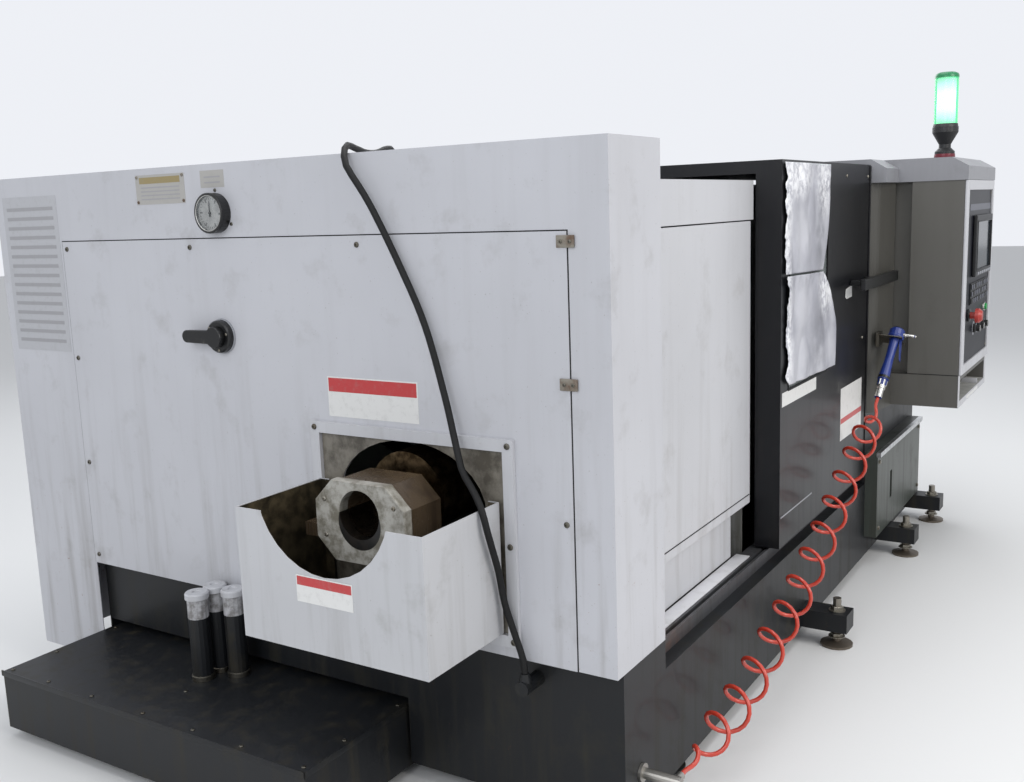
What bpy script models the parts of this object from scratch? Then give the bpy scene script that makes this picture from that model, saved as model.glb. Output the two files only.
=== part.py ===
"""A CNC turning lathe with a slant bed, a sliding door and a standing control cabinet.

The machine is modelled in its own axes: x runs along the spindle from the left end cover to the right
end, y runs rearward from the front plane, and z runs up from the floor. An empty then moves the whole
machine so that the world origin lies on the floor under the middle of its outer box.
All sizes are in metres.
"""
import math

import bmesh
import bpy
from mathutils import Matrix, Vector

# Gaps, overruns and roundness
SEAT_GAP = 0.0003
OVERRUN = 0.01
WELD_DISTANCE = 0.00001
SCREW_WELD = 0.00005
SHEET = 0.003
EDGE_ROUND = 0.004
CYLINDER_SIDES = 32
SMALL_SIDES = 16

# Heights, each from the one below it
TRACK_TOP = 0.40
TRACK_HEIGHT = 0.04
BASE_DECK = TRACK_TOP - TRACK_HEIGHT
BASE_RIGHT_DECK = 0.66
SHELF_LIFT = 0.005
SHELF_BOTTOM = BASE_RIGHT_DECK + SHELF_LIFT
SHELF_HEIGHT = 0.135
CONTROL_BOTTOM = SHELF_BOTTOM + SHELF_HEIGHT
CONTROL_HEIGHT = 0.79
CONTROL_TOP = CONTROL_BOTTOM + CONTROL_HEIGHT
COLUMN_TOP = CONTROL_TOP
ROOF_STEP = 0.010
ROOF_HEIGHT = CONTROL_TOP + ROOF_STEP
COVER_RISE = 0.09
COVER_TOP = ROOF_HEIGHT + COVER_RISE
COVER_BOTTOM = 0.44

# Depths, each from the one in front of it
BED_BACK = 1.35
LINING_ROOM = 0.10
LINING_BACK = BED_BACK + LINING_ROOM
MOTOR_ROOM = 0.30
CABINET_FRONT = LINING_BACK + MOTOR_ROOM
CABINET_DEPTH = 0.465
CABINET_SKIN_BACK = CABINET_FRONT + CABINET_DEPTH
CABINET_DOOR_THICK = 0.021
CABINET_DOOR_BACK = CABINET_SKIN_BACK + CABINET_DOOR_THICK
REAR_HANDLE = 0.004
MACHINE_DEPTH = CABINET_DOOR_BACK + REAR_HANDLE
SKIRT_INSET = 0.04
BASE_BACK = MACHINE_DEPTH - SKIRT_INSET
REAR_SKIRT_Y = BASE_BACK
COVER_STEP_INSET = 0.329
COVER_STEP_Y = MACHINE_DEPTH - COVER_STEP_INSET

# Length
CONTROL_START = 2.50
CONTROL_WIDTH = 0.69
CONTROL_END = CONTROL_START + CONTROL_WIDTH
END_MARGIN = 0.010
MACHINE_LENGTH = CONTROL_END + END_MARGIN

# Base casting
BASE_LEFT = 0.03
BASE_BOTTOM = 0.045
TUNNEL_FRONT = 0.655
TUNNEL_MARGIN = 0.006
TUNNEL_BACK = COVER_STEP_Y - TUNNEL_MARGIN
TUNNEL_TOP = 0.235
TUNNEL_END = 2.45
PAN_START = 1.26
PAN_END = 2.21
PAN_FRONT = 0.14
PAN_BACK = 0.59
PAN_FLOOR = 0.22
DRAIN_INSET = 0.14
DRAIN_BACK = 0.80
DRAIN_COVER = 0.06
DRAIN_TOP = BASE_DECK - DRAIN_COVER
DRAIN_FLOOR = 0.20

# Levelling feet
FOOT_LEFT = 0.42
FOOT_MIDDLE = 1.45
FOOT_UNDER_COVER = 2.54
FOOT_RIGHT = 3.10
FRONT_FEET = (FOOT_MIDDLE, FOOT_UNDER_COVER, FOOT_RIGHT)
FOOT_FRONT = -0.12
FOOT_UNDER_FRONT = 0.07
FOOT_REAR_INSET = 0.14
FOOT_REAR = BASE_BACK - FOOT_REAR_INSET
HIDDEN_FEET = (
    (FOOT_LEFT, FOOT_UNDER_FRONT), (FOOT_LEFT, FOOT_REAR), (FOOT_MIDDLE, FOOT_REAR),
    (FOOT_UNDER_COVER, FOOT_REAR), (FOOT_RIGHT, FOOT_REAR),
)
PAD_RADIUS = 0.055
PAD_HEIGHT = 0.016
STEM_RADIUS = 0.014
STEM_TOP = 0.17
LUG_WIDTH = 0.09
LUG_FRONT = -0.165
LUG_BOTTOM = 0.060
LUG_TOP = 0.125
LUG_EMBED = 0.02

# Spindle line and slanted bed
SPINDLE_Y = 0.59
SPINDLE_Z = 0.82
BED_ANGLE = math.radians(45)
WAY_DEPTH = 0.26
BED_LOW = -0.24
BED_HIGH = 0.42
BED_START = 0.46
BED_END = 2.28
RAIL_HEIGHT = 0.04
RAIL_WIDTH = 0.07
LOWER_RAIL = -0.20
UPPER_RAIL = 0.25

# Headstock, spindle and chuck
HEAD_START = 0.50
HEAD_END = 1.155
HEAD_LOW = -0.22
HEAD_HIGH = 0.34
HEAD_HEIGHT = 0.43
HEAD_SHOULDER = 0.20
HEAD_CROWN = 0.15
SPINDLE_RADIUS = 0.08
SPINDLE_BORE = 0.035
NOSE_START = 1.160
NOSE_END = 1.2297
NOSE_RADIUS = 0.105
PULLEY_START = 0.335
PULLEY_END = 0.435
PULLEY_RADIUS = 0.115
PULLEY_RIM = 0.006
PULLEY_LIP = 0.008
CYLINDER_START = -0.0497
CYLINDER_END = 0.300
CYLINDER_RADIUS = 0.118
CYLINDER_NECK = 0.065
CYLINDER_NECK_LENGTH = 0.04
COLLECTOR_START = -0.20
COLLECTOR_END = -0.05
COLLECTOR_WIDTH = 0.280
COLLECTOR_HEIGHT = 0.205
COLLECTOR_DROP = 0.022
COLLECTOR_CORNER = 0.055
COLLECTOR_BORE = 0.062
COLLECTOR_PLATE = 0.030
COLLECTOR_LIP = 0.004
BRACKET_REACH = 0.12
BRACKET_INNER = 0.110
BRACKET_OUTER = 0.255
BRACKET_TOP = 0.070
BRACKET_HEIGHT = 0.035
CHUCK_START = 1.23
CHUCK_END = 1.35
CHUCK_RADIUS = 0.125
CHUCK_CHAMFER = 0.008
CHUCK_BORE = 0.04
JAW_COUNT = 3
JAW_INNER = 0.047
JAW_OUTER = 0.118
JAW_WIDTH = 0.042
JAW_LENGTH = 0.06
JAW_STEP = 0.024

# Spindle motor and belt
MOTOR_Y = 1.215
MOTOR_SIZE = 0.25
MOTOR_START = 0.50
MOTOR_LENGTH = 0.42
MOTOR_SHAFT_RADIUS = 0.024
MOTOR_PULLEY_RADIUS = 0.075
BELT_THICKNESS = 0.008
BELT_EDGE = 0.010
MOTOR_CORNER = 0.03

# Saddle, cross slide and turret
SADDLE_START = 1.70
SADDLE_END = 1.92
SADDLE_LOW = -0.215
SADDLE_HIGH = 0.335
SADDLE_TOP = 0.10
CROSS_START = 1.70
CROSS_END = 1.90
CROSS_LOW = 0.16
CROSS_HIGH = 0.56
CROSS_TOP = 0.15
TURRET_V = 0.42
TURRET_START = 1.69
TURRET_END = 1.83
TURRET_HALF = 0.115
TURRET_TOP = 0.39
TURRET_SINK = 0.01
DISC_START = 1.60
DISC_RADIUS = 0.16
DISC_STATIONS = 12
HOLDER_LENGTH = 0.045
HOLDER_WIDTH = 0.040
HOLDER_DEPTH = 0.060
HOLDER_SINK = 0.012
DISC_HUB = 0.06

# Tailstock
TAIL_START = 2.03
TAIL_END = 2.25
TAIL_LOW = -0.215
TAIL_HIGH = 0.12
TAIL_TOP = 0.335
QUILL_RADIUS = 0.035
QUILL_OUT = 0.06
QUILL_IN = 0.14
CENTRE_LENGTH = 0.05
CENTRE_RADIUS = 0.022
CENTRE_TIP = 0.001

# Left end cover and its access panel
COVER_LENGTH = 0.27
COVER_STEP_Z = 0.10
COVER_FLANGE = 0.10
PANEL_FRONT = 0.107
PANEL_BACK = 1.955
PANEL_DROP = 0.205
PANEL_TOP = COVER_TOP - PANEL_DROP
PANEL_SHEET = 0.002
OVAL_Y = 0.585
OVAL_Z = 0.80
OVAL_HALF_WIDTH = 0.235
OVAL_HALF_HEIGHT = 0.165

# Frame round the spindle opening, and the chip guard
FRAME_FRONT = 0.262
FRAME_BACK = 0.905
FRAME_TOP = 0.995
FRAME_BOTTOM = 0.47
FRAME_THICK = 0.012
FRAME_BORDER = 0.030
GUARD_REACH = 0.325
GUARD_FRONT = 0.305
GUARD_BACK = 0.878
GUARD_TOP = 0.84
GUARD_BOTTOM = 0.505
GUARD_CUT_Y = 0.600
GUARD_CUT_RADIUS = 0.205
GUARD_CUT_Z = 0.905

# Gauge and switch on the end cover
GAUGE_Y = 1.213
GAUGE_DROP = 0.135
GAUGE_Z = COVER_TOP - GAUGE_DROP
GAUGE_RADIUS = 0.055
GAUGE_DEPTH = 0.030
GAUGE_RIM = 0.006
GAUGE_DISH = 0.008
POINTER_LENGTH = 0.032
POINTER_TAIL = 0.010
POINTER_WIDTH = 0.005
POINTER_THICK = 0.0015
POINTER_LIFT = 0.003
POST_RADIUS = 0.003
SWITCH_Y = 1.225
SWITCH_Z = 1.212
SWITCH_RADIUS = 0.046
SWITCH_DEPTH = 0.022
LEVER_REACH = 0.125
LEVER_WIDTH = 0.032
LEVER_TIP_WIDTH = 0.036
LEVER_THICK = 0.018
LEVER_HUB = 0.030

# Fixed panels left of the door
FIXED_Y = 0.088
FIXED_END = 1.170
SEAM_DROP = 0.125
SEAM_Z = ROOF_HEIGHT - SEAM_DROP
SEAM_WIDTH = 0.004
LIP_Z = 0.567
LIP_DEPTH = 0.018
ROUND_RADIUS = 0.030
ROUND_STEPS = 6
UPPER_RETURN = 0.60
LOWER_SETBACK = 0.030
LOWER_INSET = 0.12
LOWER_CLEARANCE = 0.005
LOWER_BOTTOM = TRACK_TOP + LOWER_CLEARANCE
LOWER_TOP = 0.62
PANEL_RETURN = 0.045

# Door track and sliding door
TRACK_FRONT = 0.040
TRACK_BACK = 0.105
TRACK_GROOVE = 0.012
TRACK_GROOVE_Y = 0.055
DOOR_START = 1.18
DOOR_END = 2.28
DOOR_BACK = 0.084
DOOR_CLEARANCE = 0.008
DOOR_BOTTOM = TRACK_TOP + DOOR_CLEARANCE
DOOR_RISE = 0.06
DOOR_TOP = ROOF_HEIGHT + DOOR_RISE
HOOD_BACK = 0.45
HOOD_HEIGHT = 0.04
HOOD_BOTTOM = DOOR_TOP - HOOD_HEIGHT
DOOR_GUIDE_WIDTH = 0.006
DOOR_GUIDE_DEPTH = 0.016
DOOR_GUIDE_INSET = 0.05
WINDOW_START = 1.265
WINDOW_END = 1.690
WINDOW_BOTTOM = 0.93
WINDOW_DROP = 0.08
WINDOW_TOP = DOOR_TOP - WINDOW_DROP
WINDOW_LAP = 0.022
GLASS_THICK = 0.008
FILM_START = 1.190
FILM_END_UPPER = 1.715
FILM_END_LOWER = 1.845
FILM_SPLIT = 1.27
FILM_DROP = 0.008
FILM_TOP = DOOR_TOP - FILM_DROP
FILM_BOTTOM = 0.845
FILM_THICK = 0.006
HANDLE_START = 1.92
HANDLE_END = 2.45
HANDLE_Z = 1.215
HANDLE_HEIGHT = 0.042
HANDLE_STANDOFF = 0.058
HANDLE_DEPTH = 0.022
HANDLE_FOOT_SHARES = (0.15, 0.55)
HANDLE_FOOT_LENGTH = 0.030

# Work space lining
LINING_LEFT = 1.190
LINING_RIGHT = 2.286
LINING_FRONT = 0.13
LINING_RUN = 0.010

# Right front panel with its round corner
RIGHT_START = 2.2845
COLUMN_BULGE = 0.030
COLUMN_RADIUS = 0.060
COLUMN_FRONT = -0.050
COLUMN_END = CONTROL_START - SEAT_GAP

# Roof and rear
ROOF_FRONT = 0.40
CABINET_X = 1.40
LATCH_LENGTH = 0.12
LATCH_WIDTH = 0.024
LATCH_Z = 1.15
LATCH_INSET = 0.06
PLATE_MARGIN = 0.06
PLATE_STANDOFF = 0.04

# Control cabinet
CONTROL_FRONT = -0.315
CONTROL_BACK = -0.115
NECK_INSET = 0.03
SHELF_BACK = -0.003
SHELF_POCKET = 0.07
SHELF_WALL = 0.025
BEZEL_THICK = 0.012
BEZEL_BORDER = 0.040
FACE_THICK = 0.006
SCREEN_START = 2.69
SCREEN_END = 3.10
SCREEN_THICK = 0.016
SCREEN_FRAME = 0.028
SCREEN_SINK = 0.008
SCREEN_DROP = 0.145
SCREEN_TOP = CONTROL_TOP - SCREEN_DROP
KEYS_START = 2.66
KEYS_RISE = 0.275
KEYS_HEIGHT = 0.09
KEYS_BOTTOM = CONTROL_BOTTOM + KEYS_RISE
KEYS_TOP = KEYS_BOTTOM + KEYS_HEIGHT
SCREEN_STEP = 0.025
SCREEN_BOTTOM = KEYS_TOP + SCREEN_STEP
KEYS_THICK = 0.004
KEY_COLUMNS = 10
KEY_ROWS = 3
KEY_SHARE = 0.72
KEY_RISE = 0.003
KNOB_RISE = 0.165
KNOB_Z = CONTROL_BOTTOM + KNOB_RISE
KNOB_RADIUS = 0.019
KNOB_DEPTH = 0.026
KNOB_SHARES = (0.24, 0.50, 0.76)
STOP_X = 2.64
STOP_RISE = 0.235
STOP_Z = CONTROL_BOTTOM + STOP_RISE
STOP_STEM = 0.030
STOP_STEM_RADIUS = 0.014
STOP_HEAD = 0.026
STOP_RADIUS = 0.030
BUTTON_X = 3.05
BUTTON_Z = STOP_Z
BUTTON_RADIUS = 0.014
BUTTON_DEPTH = 0.014

# Cap over the control cabinet and the signal tower
CAP_FRONT = -0.327
CAP_BROW_RISE = 0.045
CAP_BROW = ROOF_HEIGHT + CAP_BROW_RISE
CAP_SLOPE = -0.264
CAP_SLOPE_RISE = 0.037
CAP_TOP = CAP_BROW + CAP_SLOPE_RISE
CAP_BACK = 0.30
CAP_COLUMN_FRONT = -0.060
TOWER_X = 2.80
TOWER_Y = -0.18
TOWER_FOOT_RADIUS = 0.040
TOWER_FOOT = 0.048
TOWER_NECK_RADIUS = 0.024
TOWER_CUP = 0.085
TOWER_CUP_RADIUS = 0.052
LAMP_RADIUS = 0.047
LAMP_HEIGHT = 0.215
LAMP_ROUND = 0.012

# Cover on the base front
FRONT_COVER_START = 2.30
FRONT_COVER_END = 3.13
FRONT_COVER_Y = -0.050
FRONT_COVER_DROP = 0.175
FRONT_COVER_TOP = BASE_RIGHT_DECK - FRONT_COVER_DROP
FRONT_COVER_BOTTOM = 0.13
LEDGE_THICK = 0.010
LEDGE_REACH = -0.062
SLOT_X = 2.55
SLOT_WIDTH = 0.035
SLOT_LOW = 0.245
SLOT_HIGH = 0.365
SLOT_DEPTH = 0.02

# Coolant tank
TANK_START = -0.37
TANK_END = 2.17
TANK_SIDE_GAP = 0.010
TANK_FRONT = TUNNEL_FRONT + TANK_SIDE_GAP
TANK_BACK = TUNNEL_BACK - TANK_SIDE_GAP
TANK_TOP = 0.21
TANK_BOTTOM = 0.030
TANK_WALL = 0.006
TANK_LID_END = 0.50
SKID_WIDTH = 0.06
SKID_INSET = 0.10
PUMP_RADIUS = 0.034
PUMP_TOP = 0.4725
PUMP_CAP = 0.012
PUMP_LIP = 0.004
PUMP_LEFT = -0.111
PUMP_RIGHT = -0.042
PUMP_REAR = 1.304
PUMP_FRONT = 1.230
PUMP_PLACES = ((PUMP_LEFT, PUMP_REAR), (PUMP_RIGHT, PUMP_REAR), (PUMP_RIGHT, PUMP_FRONT))

# Air gun, its holder and its hose
GUN_X = 2.325
GUN_Y = -0.100
GUN_REST = 0.965
GUN_LEAN_LEFT = math.radians(35.5)
GUN_LEAN_BACK = math.radians(5.7)
GUN_HEAD = 0.045
GUN_HEAD_RADIUS = 0.030
GUN_HEAD_CHAMFER = 0.006
GRIP_LENGTH = 0.185
GRIP_TOP_RADIUS = 0.019
GRIP_LOW_RADIUS = 0.022
NOZZLE_REACH = 0.074
NOZZLE_RADIUS = 0.006
FITTING_RADIUS = 0.014
FITTING_LENGTH = 0.080
FITTING_HEX = 0.018
FITTING_SINK = 0.006
TRIGGER_LENGTH = 0.085
TRIGGER_THICK = 0.008
TRIGGER_WIDTH = 0.016
TRIGGER_STAND = 0.016
TRIGGER_GAP = 0.0012
HOLDER_PLATE = 0.004
HOLDER_REACH = 0.032
HOLDER_ARM = 0.062
HOLDER_SLOT = 0.024
HOLDER_WALL = 0.012
HOLDER_WALL_HALF = 0.030
HOSE_RADIUS = 0.056
HOSE_LEAD = 0.056
HOSE_POINTS = (
    (2.040, -0.085, 0.672), (1.950, -0.092, 0.662), (1.888, -0.095, 0.655), (1.691, -0.095, 0.571),
    (1.562, -0.095, 0.511), (1.439, -0.095, 0.457), (1.314, -0.095, 0.401), (1.181, -0.095, 0.352),
    (1.053, -0.095, 0.301), (0.899, -0.095, 0.262), (0.771, -0.095, 0.225), (0.607, -0.093, 0.182),
    (0.420, -0.092, 0.155), (0.260, -0.092, 0.150),
)
HOSE_STEP = 0.15
COUPLER_X = 0.118
COUPLER_Z = 0.150
COUPLER_REACH = 0.092
COUPLER_SPOUT = 0.032
COUPLER_RADIUS = 0.014
COUPLER_FLANGE = 0.024
COUPLER_FLANGE_THICK = 0.008

# Black cable from the roof, over the end cover and down to the base
CABLE_RADIUS = 0.0085
GLAND_RADIUS = 0.016
GLAND_NECK = 0.011
GLAND_LENGTH = 0.035
GLAND_SINK = 0.002
TOP_GLAND_X = 0.42
TOP_GLAND_Y = 0.90
ELBOW_RADIUS = 0.019
LOW_GLAND_X = -0.030
LOW_GLAND_Y = 0.238
LOW_GLAND_Z = 0.385
CABLE_POINTS = (
    (0.420, 0.900, 1.650), (0.415, 0.898, 1.677), (0.401, 0.893, 1.6995), (0.380, 0.885, 1.7147),
    (0.355, 0.875, 1.720), (0.310, 0.858, 1.7155), (0.270, 0.843, 1.7075), (0.230, 0.828, 1.7015),
    (0.180, 0.809, 1.6993), (0.140, 0.794, 1.7005), (0.105, 0.781, 1.7045), (0.061, 0.763, 1.7084),
    (0.038, 0.754, 1.7125), (0.012, 0.743, 1.7073), (-0.0101, 0.731, 1.6926), (-0.0248, 0.718, 1.6705),
    (-0.030, 0.702, 1.645), (-0.027, 0.643, 1.559), (-0.022, 0.566, 1.412), (-0.026, 0.494, 1.266),
    (-0.032, 0.440, 1.097), (-0.045, 0.405, 0.985), (-0.065, 0.375, 0.925), (-0.086, 0.337, 0.893),
    (-0.098, 0.310, 0.866), (-0.103, 0.2935, 0.836), (-0.101, 0.287, 0.803), (-0.080, 0.286, 0.743),
    (-0.056, 0.286, 0.677), (-0.038, 0.285, 0.597), (-0.031, 0.265, 0.522), (-0.030, 0.248, 0.474),
    (-0.030, 0.238, 0.440),
)
CABLE_STEP = 0.036

# Finishes: colour, roughness and metallic value of each material
FINISHES = {
    "light_panel": ((0.42, 0.42, 0.44), 0.5, 0.0),
    "grey_panel": ((0.20, 0.19, 0.18), 0.5, 0.0),
    "black_panel": ((0.012, 0.013, 0.018), 0.45, 0.0),
    "base_black": ((0.015, 0.018, 0.016), 0.6, 0.0),
    "cast_green": ((0.12, 0.13, 0.13), 0.6, 0.0),
    "bright_steel": ((0.62, 0.62, 0.60), 0.3, 1.0),
    "dark_steel": ((0.12, 0.11, 0.10), 0.45, 1.0),
    "black_plastic": ((0.012, 0.012, 0.013), 0.45, 0.0),
    "clear_glass": ((0.70, 0.74, 0.76), 0.05, 0.0),
    "film": ((0.55, 0.56, 0.58), 0.3, 0.0),
    "green_lens": ((0.02, 0.70, 0.22), 0.2, 0.0),
    "red_plastic": ((0.55, 0.03, 0.02), 0.35, 0.0),
    "green_plastic": ((0.03, 0.35, 0.08), 0.35, 0.0),
    "blue_plastic": ((0.01, 0.03, 0.25), 0.35, 0.0),
    "red_hose": ((0.55, 0.06, 0.03), 0.35, 0.0),
    "rubber": ((0.015, 0.015, 0.015), 0.7, 0.0),
    "white_dial": ((0.60, 0.60, 0.58), 0.4, 0.0),
}


def empty_scene():
    """Removes what the new file holds and makes the two collections and the machine's frame."""
    for old in list(bpy.data.objects):
        bpy.data.objects.remove(old)
    parts = bpy.data.collections.new("cnc_turning_lathe")
    cutters = bpy.data.collections.new("cutters")
    bpy.context.scene.collection.children.link(parts)
    bpy.context.scene.collection.children.link(cutters)
    frame = bpy.data.objects.new("machine_frame", None)
    parts.objects.link(frame)
    return parts, cutters, frame


PARTS, CUTTERS, FRAME = empty_scene()


def paint(thing, finish):
    """Gives an object its own Principled material from the table of finishes."""
    colour, roughness, metallic = FINISHES[finish]
    material = bpy.data.materials.new(thing.name)
    material.use_nodes = True
    shader = material.node_tree.nodes["Principled BSDF"]
    shader.inputs["Base Color"].default_value = (*colour, 1)
    shader.inputs["Roughness"].default_value = roughness
    shader.inputs["Metallic"].default_value = metallic
    material.diffuse_color = (*colour, 1)
    thing.data.materials.clear()
    thing.data.materials.append(material)


def place(name, mesh, finish, parent=None, location=(0, 0, 0), turn=None):
    """Makes a mesh object. A piece without a finish is a cutter: hidden, in wire, in the cutters' collection."""
    thing = bpy.data.objects.new(name, mesh)
    thing.parent = parent or FRAME
    thing.location = location
    if turn is not None:
        thing.rotation_euler = turn.to_euler()
    if finish is None:
        CUTTERS.objects.link(thing)
        thing.hide_render = True
        thing.display_type = "WIRE"
    else:
        PARTS.objects.link(thing)
        paint(thing, finish)
    return thing


def pivot(name, location, parent=None, turn=None):
    """An empty on a joint's axis, which carries the pieces that move about it."""
    thing = bpy.data.objects.new(name, None)
    PARTS.objects.link(thing)
    thing.parent = parent or FRAME
    thing.location = location
    if turn is not None:
        thing.rotation_euler = turn.to_euler()
    return thing


def mesh_from(shape, name, smooth=False):
    mesh = bpy.data.meshes.new(name)
    shape.to_mesh(mesh)
    shape.free()
    if smooth:
        mesh.shade_smooth()
        mesh.set_sharp_from_angle(angle=math.radians(40))
    return mesh


def block(name, low, high, finish, edge=0.0, parent=None):
    """A box between two corners, with its own origin in its middle and its edges rounded if asked."""
    low = Vector(low)
    high = Vector(high)
    shape = bmesh.new()
    bmesh.ops.create_cube(shape, size=1)
    bmesh.ops.scale(shape, vec=high - low, verts=shape.verts)
    thing = place(name, mesh_from(shape, name), finish, parent, (low + high) / 2)
    if edge:
        soften(thing, edge)
    return thing


def soften(thing, width, segments=2):
    """Rounds the sharp edges of a piece."""
    bevel = thing.modifiers.new("rounded edges", "BEVEL")
    bevel.width = width
    bevel.segments = segments
    bevel.limit_method = "ANGLE"
    bevel.angle_limit = math.radians(50)
    return thing


AXIS_TURNS = {
    "X": Matrix(((0, 0, 1), (1, 0, 0), (0, 1, 0))),
    "Y": Matrix(((1, 0, 0), (0, 0, -1), (0, 1, 0))),
    "Z": Matrix.Identity(3),
}


def extruded(name, outline, start, end, axis, finish, parent=None):
    """A flat outline pushed along an axis from start to end.

    The outline's pairs are (y, z) for axis X, (x, z) for axis Y and (x, y) for axis Z.
    """
    curve = bpy.data.curves.new(name, "CURVE")
    curve.dimensions = "2D"
    curve.fill_mode = "BOTH"
    curve.extrude = (end - start) / 2
    spline = curve.splines.new("POLY")
    spline.points.add(len(outline[1:]))
    for point, (across, up) in zip(spline.points, outline):
        point.co = (across, up, 0, 1)
    spline.use_cyclic_u = True
    guide = bpy.data.objects.new(name + "_guide", curve)
    CUTTERS.objects.link(guide)
    mesh = welded_mesh(guide, name)
    middle = (start + end) / 2
    offset = {"X": (middle, 0, 0), "Y": (0, middle, 0), "Z": (0, 0, middle)}[axis]
    return place(name, mesh, finish, parent, offset, AXIS_TURNS[axis])


def welded_mesh(guide, name):
    """Turns a curve object into a mesh with its caps welded on, and removes the curve."""
    bpy.context.view_layer.update()
    seen = guide.evaluated_get(bpy.context.evaluated_depsgraph_get())
    mesh = bpy.data.meshes.new_from_object(seen)
    mesh.name = name
    bpy.data.objects.remove(guide)
    shape = bmesh.new()
    shape.from_mesh(mesh)
    bmesh.ops.remove_doubles(shape, verts=shape.verts, dist=WELD_DISTANCE)
    bmesh.ops.recalc_face_normals(shape, faces=shape.faces)
    shape.to_mesh(mesh)
    shape.free()
    return mesh


def turned(name, profile, finish, centre, axis, sides=CYLINDER_SIDES, parent=None, closed=False):
    """A turned piece: pairs of (radius, height) swept about an axis through centre.

    The profile runs down the outer side, from the top to the bottom of the piece's own axis.
    """
    mesh = bpy.data.meshes.new(name)
    corners = [(radius, 0, height) for radius, height in profile]
    count = len(corners)
    edges = [(i, i + 1) for i in range(count - 1)]
    if closed:
        edges.append((count - 1, 0))
    mesh.from_pydata(corners, edges, [])
    turn = {
        "X": Matrix.Rotation(math.radians(90), 3, "Y"),
        "-X": Matrix.Rotation(math.radians(-90), 3, "Y"),
        "-Y": Matrix.Rotation(math.radians(90), 3, "X"),
        "Z": Matrix.Identity(3),
    }[axis]
    thing = place(name, mesh, finish, parent, centre, turn)
    screw = thing.modifiers.new("turned", "SCREW")
    screw.axis = "Z"
    screw.steps = sides
    screw.render_steps = sides
    screw.use_merge_vertices = True
    screw.merge_threshold = SCREW_WELD
    screw.use_smooth_shade = True
    return thing


def rod(name, radius, start, end, axis, centre, finish, sides=CYLINDER_SIDES, parent=None):
    """A plain round bar from start to end along an axis; centre gives its other two places."""
    length = end - start
    middle = (start + end) / 2
    shape = bmesh.new()
    bmesh.ops.create_cone(shape, cap_ends=True, segments=sides, radius1=radius, radius2=radius, depth=length)
    quarter = math.radians(90)
    turns = {"X": Matrix.Rotation(quarter, 3, "Y"), "Y": Matrix.Rotation(quarter, 3, "X"), "Z": Matrix.Identity(3)}
    first, second = centre
    places = {"X": (middle, first, second), "Y": (first, middle, second), "Z": (first, second, middle)}
    return place(name, mesh_from(shape, name, True), finish, parent, places[axis], turns[axis])


def cut(target, cutter):
    """Takes the cutter's shape out of the target."""
    step = target.modifiers.new("cut " + cutter.name, "BOOLEAN")
    step.operation = "DIFFERENCE"
    step.solver = "EXACT"
    step.object = cutter
    return target


def join(target, other):
    """Makes one body of the target and a hidden helper shape."""
    step = target.modifiers.new("join " + other.name, "BOOLEAN")
    step.operation = "UNION"
    step.solver = "EXACT"
    step.object = other
    return target


def hole_radius(radius, gap=SEAT_GAP, sides=CYLINDER_SIDES):
    """Radius of a faceted hole whose flats stay a gap away from a shaft of that radius."""
    return (radius + gap) / math.cos(math.pi / sides)


def arc(centre, radius, start, end, steps):
    """Points along an arc, with angles in degrees."""
    points = []
    for i in range(steps + 1):
        angle = math.radians(start + (end - start) * i / steps)
        points.append((centre[0] + radius * math.cos(angle), centre[1] + radius * math.sin(angle)))
    return points


def folded(path, thickness=SHEET):
    """Closed outline of a folded sheet: the path, and the same path moved to its left by the thickness."""
    moved = []
    for i, here in enumerate(path):
        before = Vector(here) - Vector(path[max(i - 1, 0)])
        after = Vector(path[min(i + 1, len(path) - 1)]) - Vector(here)
        before = before.normalized() if before.length else after.normalized()
        after = after.normalized() if after.length else before
        left_before = Vector((-before.y, before.x))
        left_after = Vector((-after.y, after.x))
        mitre = (left_before + left_after) / (1 + left_before.dot(left_after))
        moved.append(tuple(Vector(here) + mitre * thickness))
    return list(path) + moved[::-1]


def slope(along, height):
    """(y, z) of a point on the slanted bed: along the slope from below the spindle, and out from it."""
    sine = math.sin(BED_ANGLE)
    cosine = math.cos(BED_ANGLE)
    foot_y = SPINDLE_Y + WAY_DEPTH * sine
    foot_z = SPINDLE_Z - WAY_DEPTH * cosine
    return (foot_y + along * cosine - height * sine, foot_z + along * sine + height * cosine)


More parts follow.
